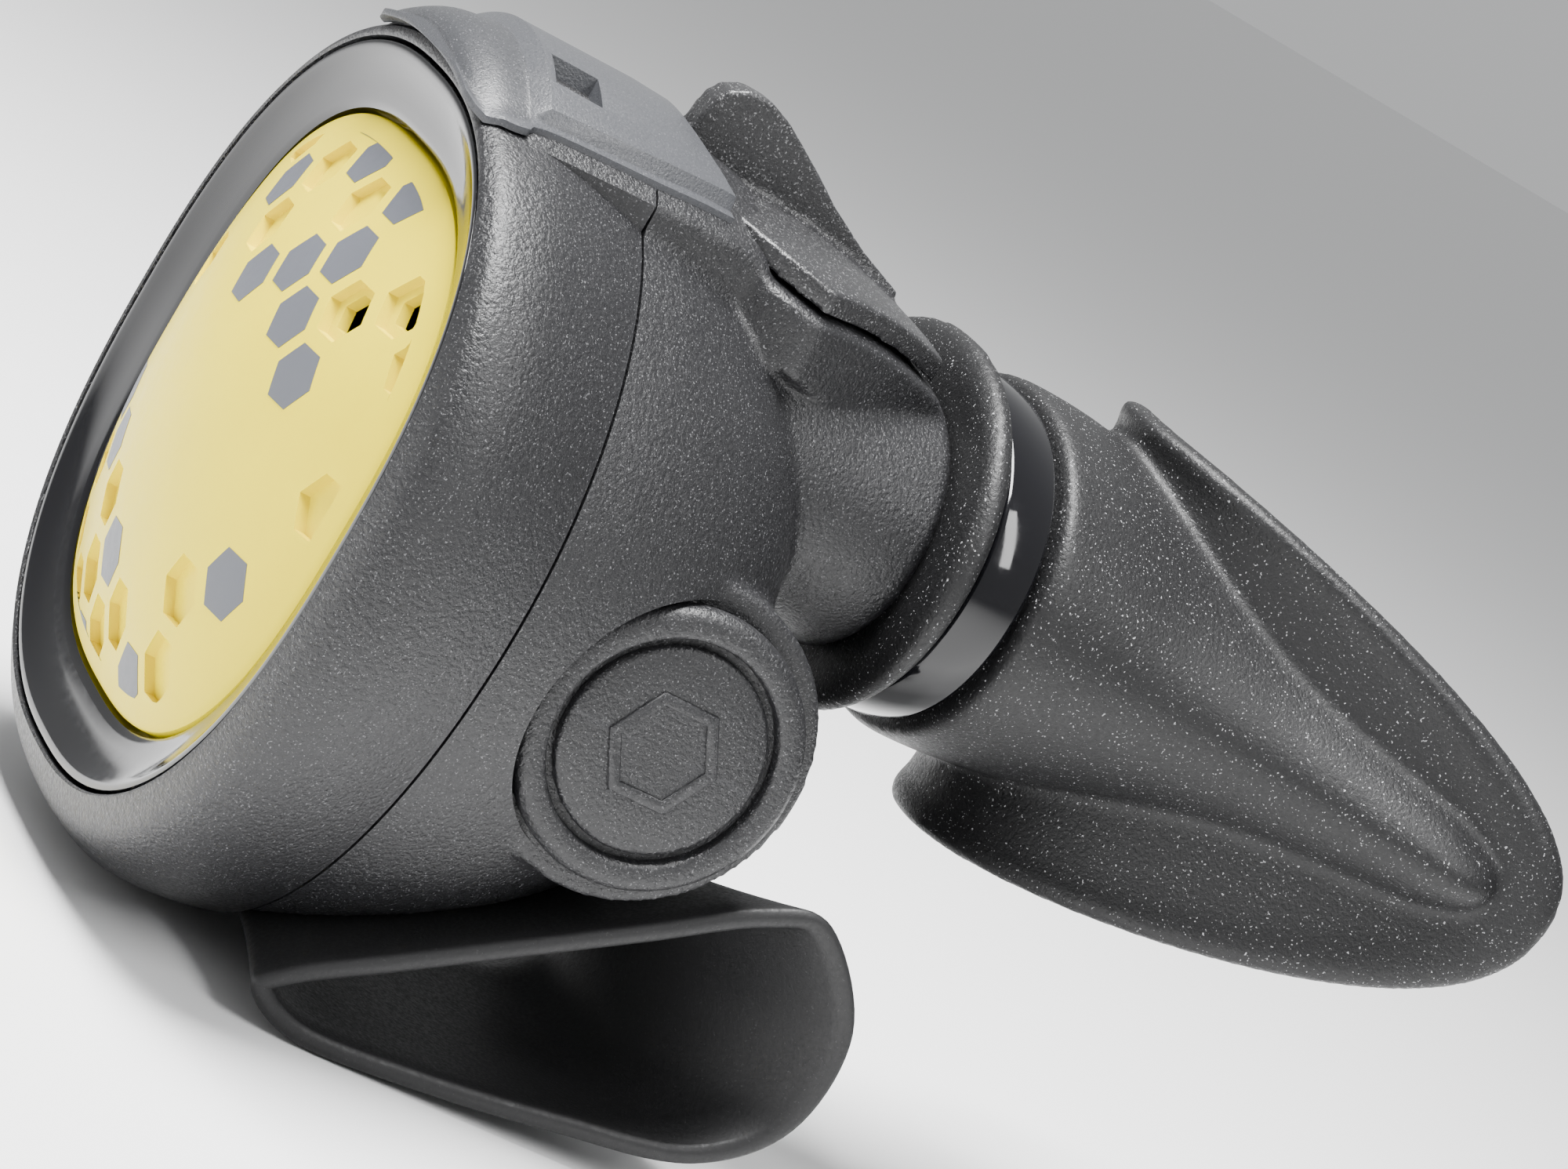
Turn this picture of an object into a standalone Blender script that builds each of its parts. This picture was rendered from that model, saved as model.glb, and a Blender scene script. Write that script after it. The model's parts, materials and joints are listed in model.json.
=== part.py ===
"""Scuba second-stage regulator: a demand valve with a purge button, a mouthpiece, an exhaust tee and a flow lever.

Every size below is in millimetres; objects are made in metres.
Frame: the origin is the centre of the hose inlet's end face, +X runs along the valve barrel towards
the side cap, -Y is the front (the purge button), +Y the diver's mouth, and +Z is up.
"""

import math

import bmesh
import bpy
from mathutils import Matrix, Vector

MM = 0.001
GAP = 0.3

# Overall places
INLET_REACH = 46.0
CASE_RISE = 4.0
RIM_Y = -35.0
PARTING_Y = -18.4
REAR_WALL_Y = 9.0
MOUTH_RISE = 22.5

# Casing
CASE_HALF_WIDTH = 36.0
CASE_TOP = 34.7
CASE_BOTTOM = 39.5
BULGE = 2.6
CASE_WALL = 2.2
RIM_HALF_WIDTH = 37.4
RIM_HALF_HEIGHT = 34.7
RIM_SQUARENESS = 2.35
CASE_SQUARENESS = 2.05
BOSS_RADIUS = 14.5
BOSS_EXTRA = 1.0
SEAT_MARGIN = 0.5
CUT_REACH = 20.0
OVAL_POINTS = 36
MOUTH_POINTS = 30

# Bezel and purge button
BEZEL_WIDTH = 7.6
BEZEL_DEPTH = 3.2
BEZEL_DISH = 1.9
BUTTON_SQUARENESS = 2.7
BUTTON_WALL = 2.0
BUTTON_DOME = 6.5
BUTTON_TRAVEL = 3.0
PURGE_HEX = 3.4
PURGE_PITCH = 6.7
PURGE_ORIGIN = (-2.48, -3.0)
PURGE_HOLES = ((3, 2), (4, 3))
FLANGE_WIDTH = 1.9
BEZEL_LAND = 2.4
STEM_RADIUS = 3.0
SPIDER_HUB_RADIUS = 6.0
SPIDER_THICKNESS = 1.6

# Diaphragm
DIAPHRAGM_RADIUS = 31.0
DIAPHRAGM_THICKNESS = 0.8
PLATE_RADIUS = 16.0
PLATE_THICKNESS = 1.2

# Valve barrel and what it holds
BARREL_RADIUS = 8.5
BARREL_BORE = 6.0
BARREL_END = 74.0
THREAD_RADIUS = 7.1
INLET_BORE = 4.2
LOCK_NUT_FLATS = 22.0
LOCK_NUT_THICKNESS = 4.5
POPPET_NUT_FLATS = 6.6
SHOULDER_X = 53.0
SHOULDER_THICKNESS = 1.6
ORIFICE_X = 27.0
SEAT_THICKNESS = 2.0
POPPET_HEAD_LENGTH = 13.0
POPPET_STEM_RADIUS = 2.0
LEVER_THICKNESS = 1.2
LEVER_WIDTH = 7.0
LEVER_REACH = 13.0
LEVER_FOOT_Y = -3.2

# Side cap
CAP_RADIUS = 12.5
CAP_FACE_X = 78.6
CAP_RIM = 3.0
CAP_THICKNESS = 3.0

# Mouthpiece tube, rubber mouthpiece and clamp
TUBE_HALF_WIDTH = 18.3
TUBE_HALF_HEIGHT = 13.0
TUBE_WALL = 2.2
TUBE_END_Y = 28.0
BEAD_START_Y = 18.8
BEAD_WIDTH = 3.6
BEAD_STAND = 3.8
CLAMP_START_Y = 22.6
CLAMP_WIDTH = 5.2
CLAMP_THICKNESS = 1.3
CLAMP_HEAD_WIDTH = 8.0
CLAMP_HEAD_STAND = 1.8
RUBBER_WALL = 2.0
FLANGE_HALF_WIDTH = 33.5
FLANGE_TOP = 19.5
FLANGE_BOTTOM = 23.0
FLANGE_FRONT_Y = 39.5
FLANGE_SWEEP = 43.0
FLANGE_CURVE = 2.0
FLANGE_END_Y = 83.2
FLANGE_THICKNESS = 2.2
BITE_DEPTH = 12.0
BITE_THICKNESS = 4.0
LUG_THICKNESS = 2.6
LUG_HALF_HEIGHT = 7.0

# Exhaust
SLANT_DEG = 31.6
SLANT_OFFSET = 16.2
PORT_RADIUS = 10.5
PORT_S = -15.2
EXHAUST_BOSS = 13.6
VALVE_THICKNESS = 0.8
TEE_WALL = 1.8
TEE_HALF_SPAN = 29.0
TEE_DEPTH = 23.0
TEE_FRONT = (-31.0, -34.5)
TEE_REAR = (4.0, 18.7)

# Saddle and flow lever
SADDLE_HALF_WIDTH = 15.5
SADDLE_TOP = 43.6
PIVOT_Y = 4.0
PIVOT_Z = 40.0
PIVOT_TILT_DEG = 8.5
DISC_RADIUS = 17.5
DISC_DOME = 60.0
DISC_THICKNESS = 2.0
DECK_BOTTOM = -6.5
LEVER_SHAFT_RADIUS = 2.4
LEVER_CHEEK_DEG = 105.0
TAIL_HALF_WIDTH = 8.5
TAIL_Y = 15.5
VANE_DEPTH = 15.5
VANE_HALF_WIDTH = 8.0
VANE_HEIGHT = 8.0
VANE_THICKNESS = 1.2

CASE_X = INLET_REACH
CASE_Z = CASE_RISE

parts = None
cutters = None


def clear_scene():
    for obj in list(bpy.data.objects):
        bpy.data.objects.remove(obj, do_unlink=True)


def new_group(name, hidden):
    group = bpy.data.collections.new(name)
    bpy.context.scene.collection.children.link(group)
    group.hide_render = hidden
    return group


def plastic(name, colour, roughness, metallic=0.0):
    material = bpy.data.materials.new(name)
    material.use_nodes = True
    shader = material.node_tree.nodes["Principled BSDF"]
    shader.inputs["Base Color"].default_value = (*colour, 1.0)
    shader.inputs["Roughness"].default_value = roughness
    shader.inputs["Metallic"].default_value = metallic
    return material


def link(name, mesh, place, material):
    """A part when it has a material, and a hidden cutter when it has none."""
    obj = bpy.data.objects.new(name, mesh)
    group = parts if material else cutters
    group.objects.link(obj)
    obj.location = Vector(place) * MM
    if material:
        mesh.materials.append(material)
    else:
        obj.hide_render = True
        obj.display_type = "WIRE"
    return obj


def rings_solid(name, rings, place=(0, 0, 0), material=None, looped=False, flat=False):
    """A solid through rings of equal length; looped joins the last ring to the first, as a hoop."""
    bm = bmesh.new()
    origin = Vector(place)
    rows = [[bm.verts.new((Vector(point) - origin) * MM) for point in ring] for ring in rings]
    count = len(rows[0])
    pairs = list(zip(rows, rows[1:]))
    if looped:
        pairs.append((rows[-1], rows[0]))
    for first, second in pairs:
        for i in range(count):
            j = (i + 1) % count
            bm.faces.new((first[i], first[j], second[j], second[i]))
    if not looped:
        bm.faces.new(rows[0])
        bm.faces.new(rows[-1])
    bmesh.ops.recalc_face_normals(bm, faces=bm.faces)
    mesh = bpy.data.meshes.new(name)
    bm.to_mesh(mesh)
    bm.free()
    if not flat:
        mesh.shade_smooth()
        mesh.set_sharp_from_angle(angle=math.radians(35))
    return link(name, mesh, place, material)


def oval(y, half_width, top, power=2.0, centre_z=CASE_Z, count=OVAL_POINTS, bottom=None):
    """A superellipse in the XZ plane; its lower half may be deeper than its upper half."""
    ring = []
    for i in range(count):
        angle = 2 * math.pi * (i + 0.5) / count
        c, s = math.cos(angle), math.sin(angle)
        x = math.copysign(abs(c) ** (2 / power), c) * half_width
        z = math.copysign(abs(s) ** (2 / power), s) * (bottom if bottom and s < 0 else top)
        ring.append((CASE_X + x, y, centre_z + z))
    return ring


def axis_turn(direction):
    return Vector(direction).to_track_quat("Z", "Y").to_matrix().to_4x4()


def turned(name, profile, place, direction, material=None, steps=32):
    """Profile points (radius, distance along direction) turned about the axis; a point at radius 0 closes it."""
    area = 0.0
    for (r0, h0), (r1, h1) in zip(profile, profile[1:] + profile[:1]):
        area += r0 * h1 - r1 * h0
    points = profile if area < 0 else profile[::-1]
    on_axis = any(r == 0 for r, _ in points)
    if on_axis:
        first = next(i for i, (r, _) in enumerate(points) if r == 0 and points[i - 1][0] == 0)
        points = points[first:] + points[:first]
    edges = [(i, i + 1) for i in range(len(points) - 1)]
    if not on_axis:
        edges.append((len(points) - 1, 0))
    mesh = bpy.data.meshes.new(name)
    mesh.from_pydata([(r * MM, 0, h * MM) for r, h in points], edges, [])
    obj = link(name, mesh, place, material)
    obj.rotation_euler = axis_turn(direction).to_euler()
    screw = obj.modifiers.new("turn", "SCREW")
    screw.steps = steps
    screw.render_steps = steps
    screw.use_merge_vertices = True
    screw.merge_threshold = 0.00001
    screw.use_smooth_shade = False
    return obj


def rod(name, radius, start, end, place, direction, material=None, steps=32, bore=0.0):
    """A plain cylinder, or a tube where it has a bore."""
    return turned(
        name,
        [(bore, end), (radius, end), (radius, start), (bore, start)],
        place,
        direction,
        material,
        steps,
    )


def prism(name, outline, low, high, axis="Z", place=(0, 0, 0), material=None):
    """A flat outline pushed along X, Y or Z; the outline's pairs are the other two axes in order."""
    order = {"X": (2, 0, 1), "Y": (0, 2, 1), "Z": (0, 1, 2)}[axis]

    def at(pair, height):
        values = (*pair, height)
        return tuple(values[i] for i in order)

    rings = [[at(pair, height) for pair in outline] for height in (low, high)]
    return rings_solid(name, rings, place, material, flat=True)


def block(name, low, high, place=(0, 0, 0), material=None):
    corners = [(low[0], low[1]), (high[0], low[1]), (high[0], high[1]), (low[0], high[1])]
    return prism(name, corners, low[2], high[2], "Z", place, material)


def combine(target, tool, operation, solver="EXACT"):
    modifier = target.modifiers.new(tool.name, "BOOLEAN")
    modifier.object = tool
    modifier.operation = operation
    modifier.solver = solver
    return target


def cut(target, *tools, solver="EXACT"):
    for tool in tools:
        combine(target, tool, "DIFFERENCE", solver)


def join(target, *tools):
    for tool in tools:
        combine(target, tool, "UNION")


def coil(name, points, wire, place, material):
    """A spring: a round wire along the points."""
    curve = bpy.data.curves.new(name, "CURVE")
    curve.dimensions = "3D"
    curve.bevel_depth = wire / 2 * MM
    curve.bevel_resolution = 1
    curve.use_fill_caps = True
    spline = curve.splines.new("POLY")
    spline.points.add(len(points) - 1)
    for slot, point in zip(spline.points, points):
        slot.co = (*((Vector(point) - Vector(place)) * MM), 1.0)
    obj = link(name, curve, place, None)
    obj.hide_render = False
    obj.display_type = "TEXTURED"
    cutters.objects.unlink(obj)
    parts.objects.link(obj)
    curve.materials.append(material)
    return obj


def helix(centre, direction, radius, start, end, turns, per_turn=12, end_radius=None):
    """Points of a coil about an axis, coned where end_radius is given."""
    turn = axis_turn(direction)
    total = int(turns * per_turn)
    points = []
    for i in range(total + 1):
        share = i / total
        angle = 2 * math.pi * i / per_turn
        reach = radius + ((end_radius or radius) - radius) * share
        local = Vector((reach * math.cos(angle), reach * math.sin(angle), start + (end - start) * share))
        points.append(Vector(centre) + turn @ local)
    return points


# ---------------------------------------------------------------- casing sections

def case_sections(inset=0.0):
    """The rear case's bowl from the parting plane to its rear wall, as (y, half width, top, bottom)."""
    depth = REAR_WALL_Y - PARTING_Y
    shares = [(0.0, 0.0), (0.2, 0.9), (0.45, 2.9), (0.65, 5.4), (0.82, 8.8), (0.94, 13.0), (1.0, 18.0)]
    sections = []
    for share, shrink in shares:
        y = PARTING_Y + GAP / 2 + (depth - GAP / 2) * share
        less = shrink + inset
        size = (CASE_HALF_WIDTH - less, CASE_TOP - less, CASE_BOTTOM - less)
        sections.append((min(y, REAR_WALL_Y - inset), *size))
    return sections


def case_ring(section):
    y, half_width, top, bottom = section
    return oval(y, half_width, top, CASE_SQUARENESS, bottom=bottom)


def cover_sections():
    """The front cover's outer skin from its rear edge to the rim, as (y, half width, top, bottom, power)."""
    depth = PARTING_Y - GAP / 2 - RIM_Y
    back = (CASE_HALF_WIDTH, CASE_TOP, CASE_BOTTOM, CASE_SQUARENESS)
    rim = (RIM_HALF_WIDTH, RIM_HALF_HEIGHT, RIM_HALF_HEIGHT, RIM_SQUARENESS)
    sections = []
    for share, swell in [(0.0, 0.0), (0.3, 0.62), (0.6, 1.0), (0.8, 0.85), (0.93, 0.45), (1.0, -0.3)]:
        size = [a + (b - a) * share for a, b in zip(back, rim)]
        stand = BULGE * swell
        sections.append((RIM_Y + depth * (1 - share), size[0] + stand, size[1] + stand * 0.3, size[2] + stand, size[3]))
    return sections


def cover_ring(section):
    y, half_width, top, bottom, power = section
    return oval(y, half_width, top, power, bottom=bottom)


def tube_sections(inset=0.0):
    """The mouthpiece tube from inside the bowl to its open end."""
    step = TUBE_WALL if inset == 0.0 else 0.0
    seat = BEAD_START_Y - GAP
    root = 1.6
    half_width = TUBE_HALF_WIDTH - inset
    half_height = TUBE_HALF_HEIGHT - inset
    return [
        (-2.0, half_width + root, half_height + 0.4),
        (REAR_WALL_Y, half_width + 0.6, half_height + 0.2),
        (seat, half_width, half_height),
        (seat + 0.01, half_width - step / 2, half_height - step / 2),
        (TUBE_END_Y, half_width - step / 2, half_height - step / 2),
    ]


def slant(s, t, x=CASE_X):
    """A point from the slanted floor's own axes: s runs up its slope to the rear, t out of it."""
    angle = math.radians(SLANT_DEG)
    along = Vector((0, math.cos(angle), math.sin(angle)))
    out = Vector((0, math.sin(angle), -math.cos(angle)))
    return Vector((x, 0, 0)) + along * s + out * t


SLANT_OUT = tuple(slant(0, 1, 0))


def below_slant(name, offset):
    """A wedge that takes away all beyond the slanted floor."""
    corners = [slant(-80, offset), slant(80, offset), slant(80, offset + 80), slant(-80, offset + 80)]
    rings = [[(x, point.y, point.z) for point in corners] for x in (-60, 160)]
    return rings_solid(name, rings, flat=True)


# ---------------------------------------------------------------- casing

def make_rear_case(material):
    case = rings_solid(
        "rear_case",
        [case_ring(section) for section in case_sections()],
        material=material,
    )
    nut_seat = LOCK_NUT_END + GAP
    seat_radius = BOSS_RADIUS + SEAT_MARGIN
    join(case, rod("boss", BOSS_RADIUS, nut_seat - BOSS_EXTRA, CAP_SEAT_X + BOSS_EXTRA, (0, 0, 0), (1, 0, 0)))
    cut(case, below_slant("floor_cut", SLANT_OFFSET))
    join(
        case,
        rings_solid("tube", [oval(y, w, h, 2.1, MOUTH_RISE) for y, w, h in tube_sections()]),
        rod("exhaust_boss", EXHAUST_BOSS, SLANT_OFFSET - 2, SLANT_OFFSET + 2.4, slant(PORT_S, 0), SLANT_OUT),
        deck_solid("deck", 0.0),
    )
    inner = case_sections(CASE_WALL)
    inner[0] = (PARTING_Y - 5, *inner[0][1:])
    hollow = rings_solid("hollow", [case_ring(section) for section in inner])
    cut(hollow, below_slant("hollow_floor_cut", SLANT_OFFSET - CASE_WALL))
    cut(hollow, ledge_solid())
    cut(
        case,
        hollow,
        rings_solid(
            "airway",
            [oval(y, w, h, 2.1, MOUTH_RISE) for y, w, h in airway_sections()],
        ),
        rod("port", PORT_RADIUS, SLANT_OFFSET - CASE_WALL - 1, SLANT_OFFSET + 10, slant(PORT_S, 0), SLANT_OUT),
        rod("barrel_hole", BARREL_RADIUS + GAP, -5, 100, (0, 0, 0), (1, 0, 0), steps=36),
        rod("lever_hole", LEVER_SHAFT_RADIUS + GAP, -VANE_DEPTH, 5, PIVOT, PIVOT_AXIS, steps=24),
        lever_room("case_lever_room", GAP),
        rod("cap_seat", seat_radius, CAP_SEAT_X, CAP_SEAT_X + CUT_REACH, (0, 0, 0), (1, 0, 0)),
        rod("nut_seat", seat_radius, nut_seat - CUT_REACH, nut_seat, (0, 0, 0), (1, 0, 0)),
        solver="MANIFOLD",
    )
    return case


def airway_sections():
    inset = TUBE_WALL + TUBE_WALL / 2
    sections = tube_sections(inset)
    start = sections[0]
    end = sections[-1]
    return [(REAR_WALL_Y - CASE_WALL - 6, *start[1:]), *sections[1:3], (end[0] + 5, *end[1:])]


def ledge_solid():
    """The step that the diaphragm's rim rests on, left standing in the hollow."""
    outer = [oval(y, 60, 60) for y in (LEDGE_Y, LEDGE_Y + 1.8)]
    inner = [oval(y, DIAPHRAGM_RADIUS - 2.5, DIAPHRAGM_RADIUS - 2.5) for y in (LEDGE_Y + 1.8, LEDGE_Y)]
    return rings_solid("ledge", outer + inner, looped=True, flat=True)


def make_front_cover(material):
    outer = [cover_ring(section) for section in cover_sections()]
    clamp_y = LEDGE_Y - DIAPHRAGM_RIM - 2 * GAP - RING_THICKNESS - GAP
    inner = [
        rim_ring(RIM_Y, BEZEL_GAP_OUT),
        rim_ring(RIM_Y + BEZEL_DEPTH + GAP, BEZEL_GAP_OUT),
        rim_ring(RIM_Y + BEZEL_DEPTH + GAP, BEZEL_WIDTH - BEZEL_LAND),
        rim_ring(FLANGE_Y + FLANGE_LIP + BUTTON_TRAVEL + GAP, BEZEL_WIDTH - BEZEL_LAND),
        oval(clamp_y, DIAPHRAGM_RADIUS - 1.5, DIAPHRAGM_RADIUS - 1.5),
        oval(clamp_y, DIAPHRAGM_RADIUS + GAP, DIAPHRAGM_RADIUS + GAP),
        oval(PARTING_Y - GAP / 2, DIAPHRAGM_RADIUS + GAP, DIAPHRAGM_RADIUS + GAP),
    ]
    cover = rings_solid("front_cover", outer + inner, material=material, looped=True)
    hub_front = SPIDER_Y - SPIDER_THICKNESS
    spider = rod("spider_hub", SPIDER_HUB_RADIUS + 4, hub_front, SPIDER_Y, (CASE_X, 0, CASE_Z), (0, 1, 0))
    for i in range(4):
        angle = math.pi * (i + 0.5) / 2
        arm = block("spider_arm", (8, hub_front, -2), (DIAPHRAGM_RADIUS + 0.5, SPIDER_Y, 2), (0, 0, 0))
        arm.location = Vector((CASE_X, 0, CASE_Z)) * MM
        arm.rotation_euler = (0, angle, 0)
        join(spider, arm)
    join(cover, spider)
    cut(
        cover,
        rod("stem_hole", STEM_RADIUS + 1.5, -60, 0, (CASE_X, 0, CASE_Z), (0, 1, 0), steps=24),
    )
    return cover


def rim_size(inset):
    return RIM_HALF_WIDTH - inset, RIM_HALF_HEIGHT - inset


def rim_ring(y, inset):
    """An outline inside the rim, squarer the nearer it is to the button."""
    share = min(inset / BEZEL_WIDTH, 1.0)
    return oval(y, *rim_size(inset), RIM_SQUARENESS + (BUTTON_SQUARENESS - RIM_SQUARENESS) * share)


def make_bezel(material):
    ring = rim_ring
    outer = BEZEL_GAP_OUT + GAP
    shelf = RIM_Y + BEZEL_DEPTH
    return rings_solid(
        "bezel_ring",
        [
            ring(RIM_Y + 0.4, outer),
            ring(RIM_Y, outer + 0.5),
            ring(RIM_Y + BEZEL_DISH * 0.45, outer + 2.2),
            ring(RIM_Y + BEZEL_DISH, BEZEL_WIDTH),
            ring(shelf + 1.8, BEZEL_WIDTH),
            ring(shelf + 1.8, BEZEL_WIDTH - 1.2),
            ring(shelf, BEZEL_WIDTH - 1.6 + GAP),
            ring(shelf, outer),
        ],
        material=material,
        looped=True,
    )


# ---------------------------------------------------------------- purge button

def button_ring(share, y, grow=0.0):
    half_width, half_height = rim_size(BEZEL_WIDTH + GAP + 0.1)
    power = 2.0 + (BUTTON_SQUARENESS - 2.0) * share
    return oval(y, half_width * share + grow, half_height * share + grow, power)


def dome_y(share, inset=0.0):
    return BUTTON_EDGE_Y - BUTTON_DOME * (1 - share * share) + inset


def make_button(material):
    outer = [button_ring(share, dome_y(share)) for share in (0.04, 0.25, 0.5, 0.72, 0.88, 0.97)]
    side = [
        button_ring(1.0, BUTTON_EDGE_Y + 0.6),
        button_ring(1.0, FLANGE_Y),
        button_ring(1.0, FLANGE_Y, FLANGE_WIDTH),
        button_ring(1.0, FLANGE_Y + FLANGE_LIP, FLANGE_WIDTH),
    ]
    shares = (0.93, 0.88, 0.72, 0.5, 0.25, 0.04)
    inner = [button_ring(0.93, FLANGE_Y + FLANGE_LIP)]
    inner += [button_ring(share, dome_y(share, BUTTON_WALL)) for share in shares]
    button = rings_solid("purge_button", outer + side + inner, (CASE_X, RIM_Y, CASE_Z), material)
    stem_end = DIAPHRAGM_FRONT_Y - 0.4
    join(
        button,
        rod(
            "purge_stem",
            STEM_RADIUS,
            dome_y(0) + BUTTON_WALL / 2,
            stem_end,
            (CASE_X, 0, CASE_Z),
            (0, 1, 0),
            steps=20,
        ),
    )
    for column, row in PURGE_HOLES:
        x = CASE_X + PURGE_ORIGIN[0] + column * PURGE_PITCH * math.cos(math.radians(30))
        z = CASE_Z + PURGE_ORIGIN[1] + (row + 0.5 * (column % 2)) * PURGE_PITCH
        cut(button, hex_rod(f"purge_hole_{column}_{row}", PURGE_HEX, (x, 0, z), -45, -28))
    return button


def hex_rod(name, flats, place, low, high):
    radius = flats / 2 / math.cos(math.radians(30))
    outline = [
        (place[0] + radius * math.cos(math.radians(60 * i)), place[2] + radius * math.sin(math.radians(60 * i)))
        for i in range(6)
    ]
    return prism(name, outline, low, high, "Y")


def make_purge_spring(material):
    front = dome_y(0.25, BUTTON_WALL) + 0.9
    rear = SPIDER_Y - SPIDER_THICKNESS - 0.8
    points = helix((CASE_X, 0, CASE_Z), (0, 1, 0), 6.0, front, rear, 4, end_radius=7.5)
    return coil("purge_spring", points, 0.9, (CASE_X, rear, CASE_Z), material)


# ---------------------------------------------------------------- diaphragm

def make_diaphragm(material):
    front = DIAPHRAGM_FRONT_Y
    back = front + DIAPHRAGM_THICKNESS
    rim_front = LEDGE_Y - GAP - DIAPHRAGM_RIM
    rim_back = LEDGE_Y - GAP
    radius = DIAPHRAGM_RADIUS
    profile = [
        (0, front),
        (radius - 10, front),
        (radius - 7, front - 1.6),
        (radius - 4, front - 1.6),
        (radius - 2.6, rim_front),
        (radius, rim_front),
        (radius, rim_back),
        (radius - 2.2, rim_back),
        (radius - 3.6, back - 1.2),
        (radius - 7, back - 1.6),
        (radius - 10, back),
        (0, back),
    ]
    return turned("diaphragm", profile, (CASE_X, 0, CASE_Z), (0, 1, 0), material, 36)


def make_diaphragm_plate(material):
    front = DIAPHRAGM_FRONT_Y + DIAPHRAGM_THICKNESS + GAP
    profile = [
        (0, front),
        (PLATE_RADIUS, front),
        (PLATE_RADIUS, front + PLATE_THICKNESS),
        (0, front + PLATE_THICKNESS),
    ]
    return turned("diaphragm_plate", profile, (CASE_X, 0, CASE_Z), (0, 1, 0), material)


def make_slip_ring(material):
    rear = LEDGE_Y - 2 * GAP - DIAPHRAGM_RIM
    return rod(
        "slip_ring",
        DIAPHRAGM_RADIUS,
        rear - RING_THICKNESS,
        rear,
        (CASE_X, 0, CASE_Z),
        (0, 1, 0),
        material,
        36,
        bore=DIAPHRAGM_RADIUS - 1.9,
    )


# ---------------------------------------------------------------- valve

def make_barrel(material):
    x_axis = (1, 0, 0)
    barrel = turned(
        "valve_barrel",
        [
            (INLET_BORE, 0),
            (THREAD_RADIUS - 0.5, 0),
            (THREAD_RADIUS, 0.6),
            (THREAD_RADIUS, LOCK_NUT_END + 0.5),
            (BARREL_RADIUS, LOCK_NUT_END + 0.5),
            (BARREL_RADIUS, BARREL_END),
            (BARREL_BORE, BARREL_END),
            (BARREL_BORE, SHOULDER_X + SHOULDER_THICKNESS),
            (POPPET_STEM_RADIUS + 0.5, SHOULDER_X + SHOULDER_THICKNESS),
            (POPPET_STEM_RADIUS + 0.5, SHOULDER_X),
            (BARREL_BORE, SHOULDER_X),
            (BARREL_BORE, 17),
            (INLET_BORE, 16),
        ],
        (0, 0, 0),
        x_axis,
        material,
        steps=32,
    )
    slot_start = SHOULDER_X + SHOULDER_THICKNESS
    cut(
        barrel,
        block("lever_slot", (slot_start, -20, -5), (slot_start + 5.5, -1.5, 5)),
        block("air_outlet", (62, 0, 1.5), (70, 20, 20)),
        block("balance_port", (32, -4, -20), (38, 4, 0)),
    )
    return barrel


def make_orifice(material):
    return turned(
        "orifice",
        [
            (2.2, 17.4),
            (BARREL_BORE - 0.15, 17.4),
            (BARREL_BORE - 0.15, 20),
            (4.6, 20),
            (4.6, 21.8),
            (BARREL_BORE - 0.15, 21.8),
            (BARREL_BORE - 0.15, 24),
            (3.4, 25),
            (2.7, ORIFICE_X),
            (2.2, ORIFICE_X),
        ],
        (0, 0, 0),
        (1, 0, 0),
        material,
        steps=28,
    )


def nut(name, flats, bore, start, end, material):
    """A hexagonal nut along the barrel's axis."""
    body = rod(name, flats / 2 / math.cos(math.radians(30)), start, end, (0, 0, 0), (1, 0, 0), material, 6)
    cut(body, rod(name + "_bore", bore, start - 1, end + 1, (0, 0, 0), (1, 0, 0), steps=20))
    return body


def o_ring(name, mean_radius, section, place, direction, material, steps=24, sides=6):
    profile = []
    for i in range(sides):
        angle = 2 * math.pi * (i + 0.5) / sides
        profile.append((mean_radius + section / 2 * math.cos(angle), section / 2 * math.sin(angle)))
    return turned(name, profile, place, direction, material, steps)


def make_poppet(body, rubber, brass):
    head = ORIFICE_X + GAP + SEAT_THICKNESS
    turned(
        "poppet",
        [
            (0, head - SEAT_THICKNESS + 1.0),
            (2.4, head - SEAT_THICKNESS + 1.0),
            (2.4, head + GAP),
            (5.4, head + GAP),
            (5.4, head + POPPET_HEAD_LENGTH),
            (POPPET_STEM_RADIUS, head + POPPET_HEAD_LENGTH),
            (POPPET_STEM_RADIUS, STEM_END_X),
            (0, STEM_END_X),
        ],
        (0, 0, 0),
        (1, 0, 0),
        body,
        steps=24,
    )
    turned(
        "poppet_seat",
        [
            (0, ORIFICE_X + GAP),
            (5.0, ORIFICE_X + GAP),
            (5.0, head),
            (2.4 + GAP, head),
            (2.4 + GAP, ORIFICE_X + GAP + 0.7),
            (0, ORIFICE_X + GAP + 0.7),
        ],
        (0, 0, 0),
        (1, 0, 0),
        rubber,
        steps=24,
    )
    points = helix(
        (0, 0, 0),
        (1, 0, 0),
        3.9,
        head + POPPET_HEAD_LENGTH + 0.8,
        SHOULDER_X - 0.8,
        3,
    )
    coil("poppet_spring", points, 0.8, (SHOULDER_X, 0, 0), brass)
    washer_x = LEVER_X + LEVER_THICKNESS + GAP
    rod("lever_washer", 4.6, washer_x, washer_x + 0.8, (0, 0, 0), (1, 0, 0), brass, 24, POPPET_STEM_RADIUS + 0.1)
    nut_start = washer_x + 0.8 + GAP
    nut("poppet_nut", POPPET_NUT_FLATS, POPPET_STEM_RADIUS + 0.1, nut_start, nut_start + 2.6, brass)


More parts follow.
